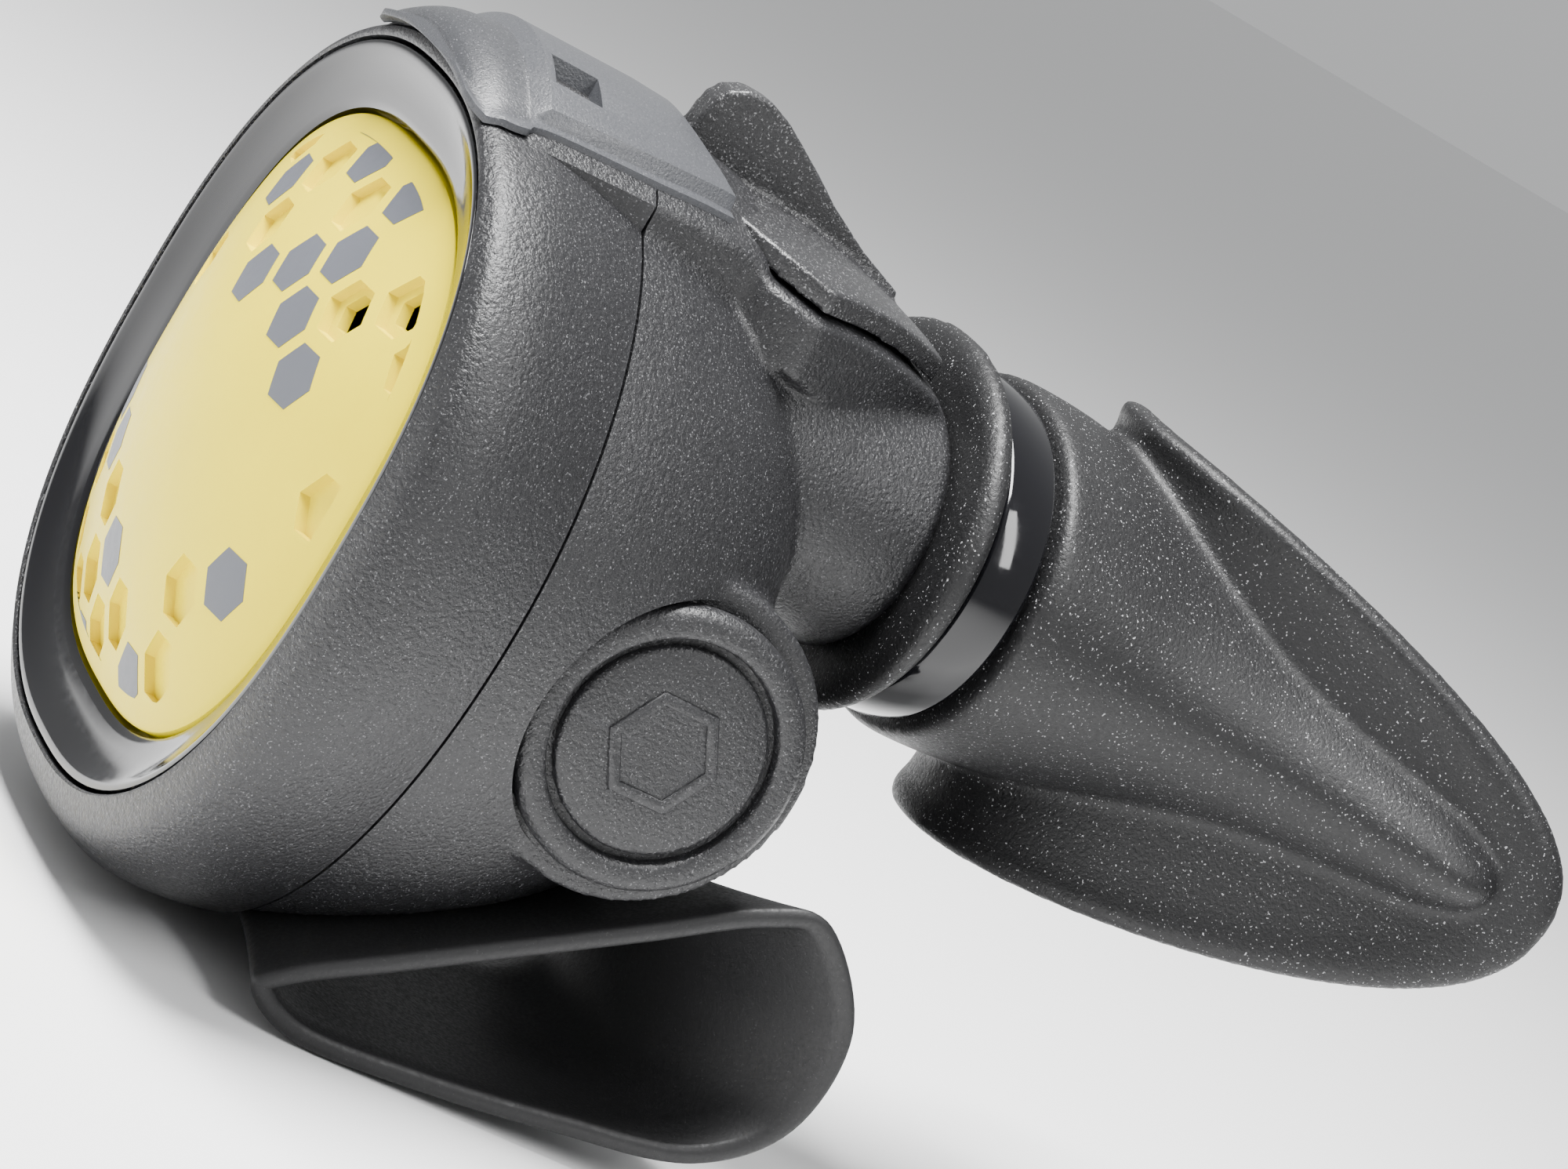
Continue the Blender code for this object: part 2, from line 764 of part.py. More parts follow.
def make_demand_lever(material):
    """A bent strip whose two feet straddle the poppet's stem behind the barrel's shoulder."""
    x0 = LEVER_X
    x1 = LEVER_X + LEVER_THICKNESS
    heel_y = -BARREL_RADIUS - 1.0
    tip_x = x1 - LEVER_REACH
    tip_y = DIAPHRAGM_FRONT_Y + DIAPHRAGM_THICKNESS + PLATE_THICKNESS + 2 * GAP
    outline = [
        (x0, LEVER_FOOT_Y),
        (x1, LEVER_FOOT_Y),
        (x1, heel_y - LEVER_THICKNESS),
        (tip_x + 2.0, tip_y + 0.1),
        (tip_x + 0.9, tip_y),
        (tip_x, tip_y + 0.9),
        (tip_x + 1.0, tip_y + LEVER_THICKNESS + 0.6),
        (x0, heel_y),
    ]
    lever = prism(
        "demand_lever",
        outline,
        -LEVER_WIDTH / 2,
        LEVER_WIDTH / 2,
        "Z",
        (LEVER_X, -BARREL_RADIUS, 0),
        material,
    )
    gap = POPPET_STEM_RADIUS + GAP
    cut(lever, block("stem_slot", (x0 - 5, -6.5, -gap), (x1 + 5, 5, gap)))
    return lever


def make_lock_nut(material):
    return nut("lock_nut", LOCK_NUT_FLATS, THREAD_RADIUS + 0.1, LOCK_NUT_X, LOCK_NUT_END, material)


# ---------------------------------------------------------------- side cap

def make_side_cap(case_material, disc_material):
    seat = CAP_SEAT_X + GAP
    groove = CAP_RADIUS - CAP_RIM
    turned(
        "side_cap",
        [
            (0, seat),
            (CAP_RADIUS, seat),
            (CAP_RADIUS, CAP_FACE_X - 1.0),
            (CAP_RADIUS - 0.8, CAP_FACE_X),
            (groove + 0.3, CAP_FACE_X),
            (groove, CAP_FACE_X - 1.4),
            (0, CAP_FACE_X - 1.4),
        ],
        (0, 0, 0),
        (1, 0, 0),
        case_material,
        steps=40,
    )
    turned(
        "side_cap_disc",
        [
            (0, CAP_FACE_X - 1.4 + GAP),
            (groove - 0.5, CAP_FACE_X - 1.4 + GAP),
            (groove - 0.5, CAP_FACE_X - 0.3),
            (0, CAP_FACE_X - 0.3),
        ],
        (0, 0, 0),
        (1, 0, 0),
        disc_material,
        steps=40,
    )


# ---------------------------------------------------------------- mouthpiece

def flange_y(x):
    """The lip shield's front face, swept back towards its ends."""
    return FLANGE_FRONT_Y + FLANGE_SWEEP * (abs(x) / FLANGE_HALF_WIDTH) ** FLANGE_CURVE


def flange_band(name, inner_offset, outer_offset, half_span, low, high, start=None):
    """A curved plate that follows the lip shield, from one offset behind its face to another."""
    steps = 20
    begin = -half_span if start is None else start
    xs = [begin + (half_span - begin) * i / steps for i in range(steps + 1)]
    front = [offset_point(x, inner_offset) for x in xs]
    back = [offset_point(x, outer_offset) for x in reversed(xs)]
    return prism(name, [(CASE_X + x, y) for x, y in front + back], low, high)


def offset_point(x, distance):
    slope = (flange_y(x + 0.01) - flange_y(x - 0.01)) / 0.02
    length = math.hypot(slope, 1.0)
    return x - slope / length * distance, flange_y(x) + distance / length


def make_mouthpiece(material):
    sleeve = CLAMP_THICKNESS + GAP
    w = TUBE_HALF_WIDTH - TUBE_WALL / 2 + GAP + RUBBER_WALL
    h = TUBE_HALF_HEIGHT - TUBE_WALL / 2 + GAP + RUBBER_WALL
    clamp_end = CLAMP_START_Y + CLAMP_WIDTH + GAP
    bead_end = BEAD_START_Y + BEAD_WIDTH
    ends = FLANGE_FRONT_Y + FLANGE_SWEEP
    body = [
        (BEAD_START_Y + 1.0, w, h),
        (BEAD_START_Y, w + BEAD_STAND / 2, h + BEAD_STAND / 2),
        (BEAD_START_Y + BEAD_WIDTH * 0.3, w + BEAD_STAND - 0.3, h + BEAD_STAND - 0.3),
        (BEAD_START_Y + BEAD_WIDTH * 0.7, w + BEAD_STAND - 0.3, h + BEAD_STAND - 0.3),
        (bead_end, w + BEAD_STAND / 2, h + BEAD_STAND / 2),
        (bead_end + 0.1, w, h),
        (clamp_end, w, h),
        (clamp_end + 0.1, w + sleeve, h + sleeve),
        (clamp_end + 1.6, w + sleeve + 1.6, h + sleeve + 1.1),
        (FLANGE_FRONT_Y + 4, w + 3.6, h + 1.2),
        (FLANGE_FRONT_Y + 13.5, w + 6.0, h - 0.6),
        (FLANGE_FRONT_Y + 20.5, w + 9.0, h - 2.4),
        (FLANGE_FRONT_Y + 26.5, w + 12.0, h - 4.6),
        (FLANGE_FRONT_Y + 31.0, w + 13.9, h - 6.4),
        (FLANGE_FRONT_Y + 34.0, w + 14.2, h - 8.0),
        (FLANGE_FRONT_Y + 36.0, w + 13.4, h - 9.4),
    ]
    mouth = rings_solid(
        "mouthpiece", [oval(y, a, b, 2.1, MOUTH_RISE, MOUTH_POINTS) for y, a, b in body], material=material
    )
    top = MOUTH_RISE + 30
    cut(mouth, flange_band("mouth_room", FLANGE_THICKNESS - 0.4, 60, FLANGE_HALF_WIDTH + 6, -20, top))
    shield = flange_band("shield", 0, FLANGE_THICKNESS, FLANGE_HALF_WIDTH + 2, -20, top)
    combine(
        shield,
        rings_solid(
            "shield_outline",
            [
                oval(y, FLANGE_HALF_WIDTH, FLANGE_TOP, 2.3, MOUTH_RISE, MOUTH_POINTS, FLANGE_BOTTOM)
                for y in (FLANGE_FRONT_Y - 5, ends + 20)
            ],
        ),
        "INTERSECT",
    )
    join(mouth, shield)
    cut(mouth, block("tip_trim", (-50, FLANGE_END_Y, -50), (150, FLANGE_END_Y + 20, 100)))
    for side, start, stop in (("right", 9.5, 24.0), ("left", -24.0, -9.5)):
        half = BITE_THICKNESS / 2
        join(
            mouth,
            flange_band(
                f"bite_{side}", 1.0, BITE_DEPTH, stop, MOUTH_RISE - half, MOUTH_RISE + half, start
            ),
            flange_band(
                f"lug_{side}",
                BITE_DEPTH - LUG_THICKNESS,
                BITE_DEPTH + 0.3,
                stop - 0.4,
                MOUTH_RISE - LUG_HALF_HEIGHT,
                MOUTH_RISE + LUG_HALF_HEIGHT,
                start + 0.4,
            ),
        )
    bore = [
        (BEAD_START_Y - 3, w - RUBBER_WALL, h - RUBBER_WALL),
        (TUBE_END_Y + GAP, w - RUBBER_WALL, h - RUBBER_WALL),
        (TUBE_END_Y + GAP + 0.01, w - RUBBER_WALL - 3.0, h - RUBBER_WALL - 3.0),
        (FLANGE_FRONT_Y - 2, 11.0, 7.5),
        (FLANGE_FRONT_Y + 30, 9.0, 6.5),
    ]
    cut(mouth, rings_solid("mouth_bore", [oval(y, a, b, 2.1, MOUTH_RISE, MOUTH_POINTS) for y, a, b in bore]))
    return mouth


def make_clamp(material):
    w = TUBE_HALF_WIDTH - TUBE_WALL / 2 + GAP + RUBBER_WALL + GAP
    h = TUBE_HALF_HEIGHT - TUBE_WALL / 2 + GAP + RUBBER_WALL + GAP
    start = CLAMP_START_Y
    end = CLAMP_START_Y + CLAMP_WIDTH
    rings = [(start, 0), (start, CLAMP_THICKNESS), (end, CLAMP_THICKNESS), (end, 0)]
    clamp = rings_solid(
        "mouthpiece_clamp",
        [oval(y, w + stand, h + stand, 2.1, MOUTH_RISE, MOUTH_POINTS) for y, stand in rings],
        material=material,
        looped=True,
    )
    side = CASE_X - w - CLAMP_THICKNESS
    half = CLAMP_HEAD_WIDTH / 2
    join(
        clamp,
        block(
            "clamp_head",
            (side - CLAMP_HEAD_STAND, start + 0.4, MOUTH_RISE - half),
            (side + CLAMP_THICKNESS * 0.7, end - 0.4, MOUTH_RISE + half),
        ),
    )
    return clamp


# ---------------------------------------------------------------- exhaust

def smooth_loop(points, count):
    """Evenly shared points on a closed Catmull-Rom curve through the given ones."""
    result = []
    total = len(points)
    for i in range(count):
        place = i * total / count
        k = int(place)
        t = place - k
        p0, p1, p2, p3 = (Vector(points[(k + j) % total]) for j in (-1, 0, 1, 2))
        result.append(
            0.5 * (2 * p1 + (p2 - p0) * t + (2 * p0 - 5 * p1 + 4 * p2 - p3) * t**2 + (3 * p1 - p0 - 3 * p2 + p3) * t**3)
        )
    return result


def tee_section(x, inset=0.0):
    """A teardrop with a flat top: shallow at the front, deep at the rear, and larger towards each wing's mouth."""
    share = abs(x) / TEE_HALF_SPAN
    depth = TEE_DEPTH * (0.78 + 0.22 * share)
    front, rear = (inner + (outer - inner) * share**2 for inner, outer in (TEE_FRONT, TEE_REAR))
    centre = (front + rear) / 2
    half = (rear - front) / 2
    loop = smooth_loop([(s * half, t * depth) for s, t in TEE_OUTLINE], TEE_POINTS)
    if inset:
        middle = len(loop)
        moved = []
        for i, point in enumerate(loop):
            along = (loop[(i + 1) % middle] - loop[i - 1]).normalized()
            moved.append(point + Vector((along.y, -along.x)) * inset)
        loop = moved
    return [slant(centre + point.x, TEE_TOP + point.y, CASE_X + x) for point in loop]


def make_tee(material):
    stations = [TEE_HALF_SPAN * share for share in (-1, -0.66, -0.33, 0, 0.33, 0.66, 1)]
    tee = rings_solid("exhaust_tee", [tee_section(x) for x in stations], material=material)
    collar_in = EXHAUST_BOSS + GAP
    join(
        tee,
        rod("tee_collar", collar_in + TEE_WALL, SLANT_OFFSET + GAP, TEE_TOP + 2, slant(PORT_S, 0), SLANT_OUT),
    )
    inner = [TEE_HALF_SPAN * share for share in (-1.1, -0.66, -0.33, 0, 0.33, 0.66, 1.1)]
    cut(
        tee,
        rings_solid("tee_hollow", [tee_section(x, TEE_WALL) for x in inner]),
        rod("tee_port", collar_in, 0, TEE_TOP + 5, slant(PORT_S, 0), SLANT_OUT),
        solver="MANIFOLD",
    )
    return tee


def make_exhaust_valve(material):
    base = SLANT_OFFSET + 2.4 + GAP
    return turned(
        "exhaust_valve",
        [
            (0, base),
            (EXHAUST_BOSS - 0.8, base),
            (EXHAUST_BOSS - 0.8, base + VALVE_THICKNESS * 0.6),
            (2.0, base + VALVE_THICKNESS),
            (0, base + VALVE_THICKNESS),
        ],
        slant(PORT_S, 0),
        SLANT_OUT,
        material,
    )


# ---------------------------------------------------------------- saddle and flow lever

def deck_solid(name, lift):
    """The dished seat that the flow lever turns on."""
    profile = [
        (0, -DISC_THICKNESS - GAP + lift),
        *dome_profile(DISC_RADIUS + 1.6, -DISC_THICKNESS - GAP + lift),
        (DISC_RADIUS + 1.6, DECK_BOTTOM),
        (0, DECK_BOTTOM),
    ]
    deck = turned(name, profile, PIVOT, PIVOT_AXIS, steps=40)
    outline = prism("deck_outline", lever_outline(1.4), 0, 80)
    return combine(deck, outline, "INTERSECT")


def lever_room(name, clearance):
    """The space that the lever turns in, above its seat."""
    radius = DISC_RADIUS + clearance
    floor = -DISC_THICKNESS - GAP
    profile = [(0, floor), *dome_profile(radius, floor), (radius, 20), (0, 20)]
    return turned(name, profile, PIVOT, PIVOT_AXIS, steps=40)


def lever_outline(grow):
    """The lever seen from above: a round front that narrows to a blunt tail over the mouthpiece tube."""
    front = DISC_RADIUS + grow
    points = []
    for i in range(17):
        angle = math.radians(LEVER_CHEEK_DEG) + math.radians(360 - 2 * LEVER_CHEEK_DEG) * i / 16
        points.append((CASE_X + front * math.sin(angle), PIVOT_Y + front * math.cos(angle)))
    for x in (-TAIL_HALF_WIDTH, TAIL_HALF_WIDTH):
        points.append((CASE_X + x + math.copysign(grow, x), TAIL_Y + grow))
    return points


def dome_profile(radius, height, points=5):
    return [
        (radius * (i + 1) / points, height - (radius * (i + 1) / points) ** 2 / (2 * DISC_DOME))
        for i in range(points)
    ]


def make_flow_lever(material):
    lever = turned(
        "flow_lever",
        [
            (0, 0),
            *dome_profile(DISC_RADIUS, 0),
            *reversed(dome_profile(DISC_RADIUS, -DISC_THICKNESS)),
            (0, -DISC_THICKNESS),
        ],
        PIVOT,
        PIVOT_AXIS,
        material,
        steps=40,
    )
    combine(lever, prism("lever_outline", lever_outline(0), 0, 80), "INTERSECT")
    join(
        lever,
        lever_fin(),
        rod("lever_shaft", LEVER_SHAFT_RADIUS, -VANE_DEPTH, -1, PIVOT, PIVOT_AXIS, steps=20),
    )
    return lever


def make_vane(material):
    """The venturi vane: a plate that hangs in the airway from a collar on the lever's shaft."""
    vane = rod("venturi_vane", 4.2, -VANE_DEPTH, 3.4 - VANE_DEPTH, PIVOT, PIVOT_AXIS, material, 20)
    half = VANE_THICKNESS / 2
    low = -VANE_DEPTH - VANE_HEIGHT
    plate = block("vane_plate", (-VANE_HALF_WIDTH, -half, low), (VANE_HALF_WIDTH, half, 1.0 - VANE_DEPTH))
    plate.location = Vector(PIVOT) * MM
    plate.rotation_euler = (-math.radians(PIVOT_TILT_DEG), 0, 0)
    join(vane, plate)
    cut(vane, rod("vane_bore", LEVER_SHAFT_RADIUS + GAP, -VANE_DEPTH - GAP, 0, PIVOT, PIVOT_AXIS, steps=20))
    return vane


def lever_fin():
    """An upright curved thumb fin along the lever's far side."""
    front = -DISC_RADIUS + 0.6
    outline = [(front, -2.4), (front, 4.0), (-15.5, 5.8), (-12.5, 6.4), (-7.5, 5.0), (-1.8, 2.7), (8, 0.2), (8, -1)]
    fin = prism("lever_fin", [(y, z) for y, z in outline], -2.2, 1.2, "X")
    fin.location = Vector(PIVOT) * MM
    fin.rotation_euler = (-math.radians(PIVOT_TILT_DEG), 0, 0)
    return fin


def make_saddle(material):
    """A curved bridge over the front cover's top edge and the case's top."""
    rings = []
    for y, half, top in SADDLE_STATIONS:
        under = []
        over = []
        for i in range(9):
            x = -half + 2 * half * i / 8
            low = case_top(x, y) + GAP
            high = top - 5.0 * (abs(x) / SADDLE_HALF_WIDTH) ** 2
            under.append((CASE_X + x, y, low))
            over.append((CASE_X + x, y, max(high, low + 1.0)))
        rings.append(under + over[::-1])
    saddle = rings_solid("saddle", rings, material=material)
    cut(
        saddle,
        rod("saddle_lever_room", DISC_RADIUS + 1.6 + GAP, -20, 20, PIVOT, PIVOT_AXIS, steps=40),
    )
    return saddle


def case_top(x, y):
    """The height of the casing's outer skin at a place on its top."""
    if y < PARTING_Y:
        skin = sorted((sy, w, top, p) for sy, w, top, _, p in cover_sections())
    else:
        skin = [(sy, w, top, CASE_SQUARENESS) for sy, w, top, _ in case_sections()]
    y = min(max(y, skin[0][0]), skin[-1][0])
    for first, second in zip(skin, skin[1:]):
        if first[0] <= y <= second[0]:
            share = (y - first[0]) / max(second[0] - first[0], 1e-6)
            w, h, p = (a + (b - a) * share for a, b in zip(first[1:], second[1:]))
            return CASE_Z + h * (1 - abs(x / w) ** p) ** (1 / p)
    return CASE_Z + skin[-1][2]


# ---------------------------------------------------------------- places that follow from the sizes

LOCK_NUT_X = 9.0
LOCK_NUT_END = LOCK_NUT_X + LOCK_NUT_THICKNESS
CAP_SEAT_X = CAP_FACE_X - CAP_THICKNESS
BEZEL_GAP_OUT = 1.3
DIAPHRAGM_RIM = 1.6
RING_THICKNESS = 1.0
LEDGE_Y = PARTING_Y + 1.6
DIAPHRAGM_FRONT_Y = PARTING_Y - 0.2
SPIDER_Y = -22.4
BUTTON_EDGE_Y = RIM_Y + BEZEL_DISH
FLANGE_LIP = 1.2
FLANGE_Y = RIM_Y + BEZEL_DEPTH + 1.8 + GAP
LEVER_X = SHOULDER_X + SHOULDER_THICKNESS + GAP
STEM_END_X = LEVER_X + LEVER_THICKNESS + 4.8
TEE_TOP = SLANT_OFFSET + 0.6
TEE_POINTS = 26
TEE_OUTLINE = [
    (-0.98, 0.06),
    (-0.85, 0.3),
    (-0.45, 0.56),
    (0.0, 0.8),
    (0.45, 1.0),
    (0.8, 0.92),
    (1.0, 0.55),
    (0.92, 0.1),
    (0.7, 0.0),
    (0.3, 0.0),
    (-0.1, 0.0),
    (-0.5, 0.0),
    (-0.85, 0.0),
]
PIVOT = (CASE_X, PIVOT_Y, PIVOT_Z)
PIVOT_AXIS = (0, math.sin(math.radians(PIVOT_TILT_DEG)), math.cos(math.radians(PIVOT_TILT_DEG)))
SADDLE_STATIONS = [
    (RIM_Y - 1.5, SADDLE_HALF_WIDTH - 3, 41.0),
    (RIM_Y + 1.5, SADDLE_HALF_WIDTH, SADDLE_TOP - 0.8),
    (RIM_Y + 8, SADDLE_HALF_WIDTH, SADDLE_TOP),
    (PARTING_Y, SADDLE_HALF_WIDTH, SADDLE_TOP + 0.2),
    (-13.0, SADDLE_HALF_WIDTH, SADDLE_TOP - 0.3),
    (-8.0, SADDLE_HALF_WIDTH, SADDLE_TOP - 1.2),
    (-4.0, SADDLE_HALF_WIDTH, SADDLE_TOP - 2.4),
]


def main():
    global parts, cutters
    clear_scene()
    parts = new_group("second_stage_regulator", False)
    cutters = new_group("cutters", True)
    case_plastic = plastic("case_plastic", (0.05, 0.05, 0.052), 0.55)
    gloss = plastic("gloss_black", (0.03, 0.03, 0.032), 0.12)
    yellow = plastic("purge_yellow", (0.95, 0.80, 0.05), 0.35)
    grey = plastic("saddle_grey", (0.12, 0.12, 0.125), 0.4)
    rubber = plastic("soft_rubber", (0.04, 0.04, 0.042), 0.8)
    seal = plastic("seal_rubber", (0.02, 0.02, 0.02), 0.6)
    clear = plastic("membrane", (0.35, 0.35, 0.36), 0.4)
    steel = plastic("steel", (0.7, 0.7, 0.7), 0.3, 1.0)
    brass = plastic("plated_brass", (0.75, 0.74, 0.7), 0.25, 1.0)

    make_rear_case(case_plastic)
    make_front_cover(case_plastic)
    make_bezel(gloss)
    make_button(yellow)
    make_purge_spring(steel)
    make_diaphragm(clear)
    make_diaphragm_plate(grey)
    make_slip_ring(grey)
    make_barrel(brass)
    make_orifice(brass)
    o_ring("orifice_seal", 5.2, 1.0, (20.9, 0, 0), (1, 0, 0), seal, 24, 6)
    make_poppet(grey, seal, steel)
    make_demand_lever(steel)
    make_lock_nut(brass)
    make_side_cap(case_plastic, case_plastic)
    make_mouthpiece(rubber)
    make_clamp(gloss)
    make_tee(rubber)
    make_exhaust_valve(clear)
    make_saddle(grey)
    make_flow_lever(grey)
    make_vane(grey)
    bpy.context.view_layer.update()


main()
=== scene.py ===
"""Looks of the second-stage regulator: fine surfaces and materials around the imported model.

Sizes are in millimetres in the row frame: +X along the barrel to the side cap, -Y the front, +Z up.
"""

import json
import math

import bmesh
import bpy
import numpy as np
from mathutils import Matrix, Vector


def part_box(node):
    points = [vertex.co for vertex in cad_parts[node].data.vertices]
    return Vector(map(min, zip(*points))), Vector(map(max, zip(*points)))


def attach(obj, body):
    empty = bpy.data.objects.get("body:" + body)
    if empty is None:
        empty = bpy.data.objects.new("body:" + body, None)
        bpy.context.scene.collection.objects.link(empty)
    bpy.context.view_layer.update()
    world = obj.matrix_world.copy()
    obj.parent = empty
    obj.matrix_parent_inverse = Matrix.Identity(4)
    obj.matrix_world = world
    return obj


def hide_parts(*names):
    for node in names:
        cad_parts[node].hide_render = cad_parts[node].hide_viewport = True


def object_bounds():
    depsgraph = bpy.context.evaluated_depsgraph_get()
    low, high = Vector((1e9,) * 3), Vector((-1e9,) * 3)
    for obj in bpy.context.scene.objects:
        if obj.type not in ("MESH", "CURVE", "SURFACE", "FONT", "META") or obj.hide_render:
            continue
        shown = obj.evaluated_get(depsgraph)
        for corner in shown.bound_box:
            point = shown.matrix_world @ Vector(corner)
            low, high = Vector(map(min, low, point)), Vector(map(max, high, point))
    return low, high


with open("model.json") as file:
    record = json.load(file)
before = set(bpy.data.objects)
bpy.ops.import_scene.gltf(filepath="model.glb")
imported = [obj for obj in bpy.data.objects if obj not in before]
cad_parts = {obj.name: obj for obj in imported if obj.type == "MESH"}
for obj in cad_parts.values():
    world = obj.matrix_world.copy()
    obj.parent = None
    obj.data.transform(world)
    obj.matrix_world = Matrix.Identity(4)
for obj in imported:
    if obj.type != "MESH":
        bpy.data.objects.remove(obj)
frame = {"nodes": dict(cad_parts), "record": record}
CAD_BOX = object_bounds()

MM = 0.001
ROUND = 144
SHARP = 40
SOFT_SHARP = 50
MELT_FACTOR = 0.5
LEAST_RADIUS = 1e-3
# How softly the pale flecks fade in; on the casing plastics these flecks are painted glints standing for the
# grain's sparkle.
SPECK_AND_GLINT_FADE = 0.07
GAP = 0.3
SPLIT = 0.12

ORIGIN = (0, 0, 0)
BARREL_AXIS = (1, 0, 0)


def box_mm(node):
    low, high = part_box(node)
    return low / MM, high / MM


BEZEL_LOW, BEZEL_HIGH = box_mm("bezel_ring")
COVER_LOW, COVER_HIGH = box_mm("front_cover")
CLAMP_LOW, CLAMP_HIGH = box_mm("mouthpiece_clamp")
MOUTH_LOW, MOUTH_HIGH = box_mm("mouthpiece")
CAP_LOW, CAP_HIGH = box_mm("side_cap")
NUT_LOW, NUT_HIGH = box_mm("lock_nut")
BARREL_END = box_mm("valve_barrel")[1].x

CASE_X = (BEZEL_LOW.x + BEZEL_HIGH.x) / 2
CASE_Z = (BEZEL_LOW.z + BEZEL_HIGH.z) / 2
RIM_Y = COVER_LOW.y
PARTING_Y = COVER_HIGH.y + GAP / 2
MOUTH_Z = (MOUTH_LOW.z + MOUTH_HIGH.z) / 2
REAR_WALL_Y = 9.0

CASE_HALF_WIDTH = 36.0
CASE_TOP = 34.7
CASE_BOTTOM = 39.5
CASE_WALL = 2.2
BULGE = 2.6
UPPER_BULGE = 0.3
RIM_HALF_WIDTH = 37.4
RIM_HALF_HEIGHT = 34.7
RIM_POWER = 2.35
CASE_POWER = 2.05
BUTTON_POWER = 2.7
BEZEL_WIDTH = 7.6

PIVOT = Vector((46.0, 4.0, 40.0))
PIVOT_TILT = math.radians(8.5)
PIVOT_AXIS = Vector((0, math.sin(PIVOT_TILT), math.cos(PIVOT_TILT)))
DISC_RADIUS = 17.5
DISC_DOME = 60.0
OUTLINE_HEIGHT = 80

SLANT = math.radians(31.6)
SLANT_OFFSET = 16.2
SLANT_ALONG = Vector((0, math.cos(SLANT), math.sin(SLANT)))
SLANT_OUT = Vector((0, math.sin(SLANT), -math.cos(SLANT)))


# ---------------------------------------------------------------- mesh helpers

def mesh_object(name, points, faces, sharp=SHARP):
    """A mesh from points in millimetres, with its faces turned outwards."""
    mesh = bpy.data.meshes.new(name)
    mesh.from_pydata([tuple(np.array(p) * MM) for p in points], [], [tuple(f) for f in faces])
    bm = bmesh.new()
    bm.from_mesh(mesh)
    bmesh.ops.recalc_face_normals(bm, faces=bm.faces)
    bm.to_mesh(mesh)
    bm.free()
    obj = bpy.data.objects.new(name, mesh)
    bpy.context.scene.collection.objects.link(obj)
    shade(obj, sharp)
    return obj


def shade(obj, sharp):
    """Smooth shading, with sharp edges where the surface turns by more than an angle in degrees."""
    obj.data.shade_smooth()
    obj.data.set_sharp_from_angle(angle=math.radians(sharp))


def loft(name, rings, looped=False, sharp=SHARP):
    """A closed solid through rings of equal length; looped joins the last ring to the first."""
    count = len(rings[0])
    points = np.concatenate([np.array(ring, float) for ring in rings])
    faces = []
    last = len(rings) if looped else len(rings) - 1
    for row in range(last):
        a = row * count
        b = ((row + 1) % len(rings)) * count
        for i in range(count):
            j = (i + 1) % count
            faces.append((a + i, a + j, b + j, b + i))
    if not looped:
        faces.append(tuple(range(count)))
        faces.append(tuple(range((len(rings) - 1) * count, len(rings) * count)))
    return mesh_object(name, points, faces, sharp)


def catmull(rows, per, closed=False):
    """Rows of numbers with a smooth curve of per steps from each given row to the next."""
    rows = np.array(rows, float)
    total = len(rows)
    result = []
    for k in range(total if closed else total - 1):
        if closed:
            p0, p1, p2, p3 = (rows[(k + j) % total] for j in (-1, 0, 1, 2))
        else:
            p0, p1, p2, p3 = (rows[min(max(k + j, 0), total - 1)] for j in (-1, 0, 1, 2))
        for i in range(per):
            t = i / per
            straight = 2 * p1 + (p2 - p0) * t
            square = (2 * p0 - 5 * p1 + 4 * p2 - p3) * t**2
            cube = (3 * p1 - p0 - 3 * p2 + p3) * t**3
            result.append(0.5 * (straight + square + cube))
    if not closed:
        result.append(rows[-1])
    return np.array(result)


def oval(y, half_width, top, bottom=None, power=2.0, centre_z=None, count=ROUND):
    """A superellipse in the XZ plane; its lower half may be deeper than its upper half."""
    centre_z = CASE_Z if centre_z is None else centre_z
    bottom = top if bottom is None else bottom
    angle = 2 * np.pi * (np.arange(count) + 0.5) / count
    c, s = np.cos(angle), np.sin(angle)
    x = np.sign(c) * np.abs(c) ** (2 / power) * half_width
    z = np.sign(s) * np.abs(s) ** (2 / power) * np.where(s < 0, bottom, top)
    return np.stack([CASE_X + x, np.full(count, y), centre_z + z], 1)


def lathe(name, profile, origin=ORIGIN, direction=BARREL_AXIS, steps=96, sharp=SHARP):
    """A profile of (radius, distance along direction) turned about an axis; radius 0 closes an end."""
    turn = np.array(Vector(direction).to_track_quat("Z", "Y").to_matrix())
    rings = []
    for radius, along in profile:
        angle = 2 * np.pi * np.arange(steps) / steps
        radius = max(radius, LEAST_RADIUS)
        local = np.stack([np.cos(angle) * radius, np.sin(angle) * radius, np.full(steps, along)], 1)
        rings.append(local @ turn.T + np.array(origin))
    looped = profile[0][0] > 0 and profile[-1][0] > 0
    return loft(name, rings, looped, sharp)


def cylinder(name, radius, span, origin=ORIGIN, direction=BARREL_AXIS, steps=96):
    low, high = span
    return lathe(name, [(0, low), (radius, low), (radius, high), (0, high)], origin, direction, steps)


def prism(name, outline, low, high, axis):
    """An outline in the plane across an axis, carried from low to high along it."""
    order = {"X": (2, 0, 1), "Z": (0, 1, 2)}[axis]
    rings = [[[(*pair, height)[i] for i in order] for pair in outline] for height in (low, high)]
    return loft(name, rings, sharp=20)


def box_solid(low, high):
    corners = [(low[0], low[1]), (high[0], low[1]), (high[0], high[1]), (low[0], high[1])]
    return prism("box", corners, low[2], high[2], "Z")


def hexagon(radius):
    return [(radius * math.cos(math.pi * i / 3), radius * math.sin(math.pi * i / 3)) for i in range(6)]


def bake(obj):
    """Makes the object's modifiers part of its mesh."""
    graph = bpy.context.evaluated_depsgraph_get()
    mesh = bpy.data.meshes.new_from_object(obj.evaluated_get(graph))
    obj.modifiers.clear()
    obj.data = mesh


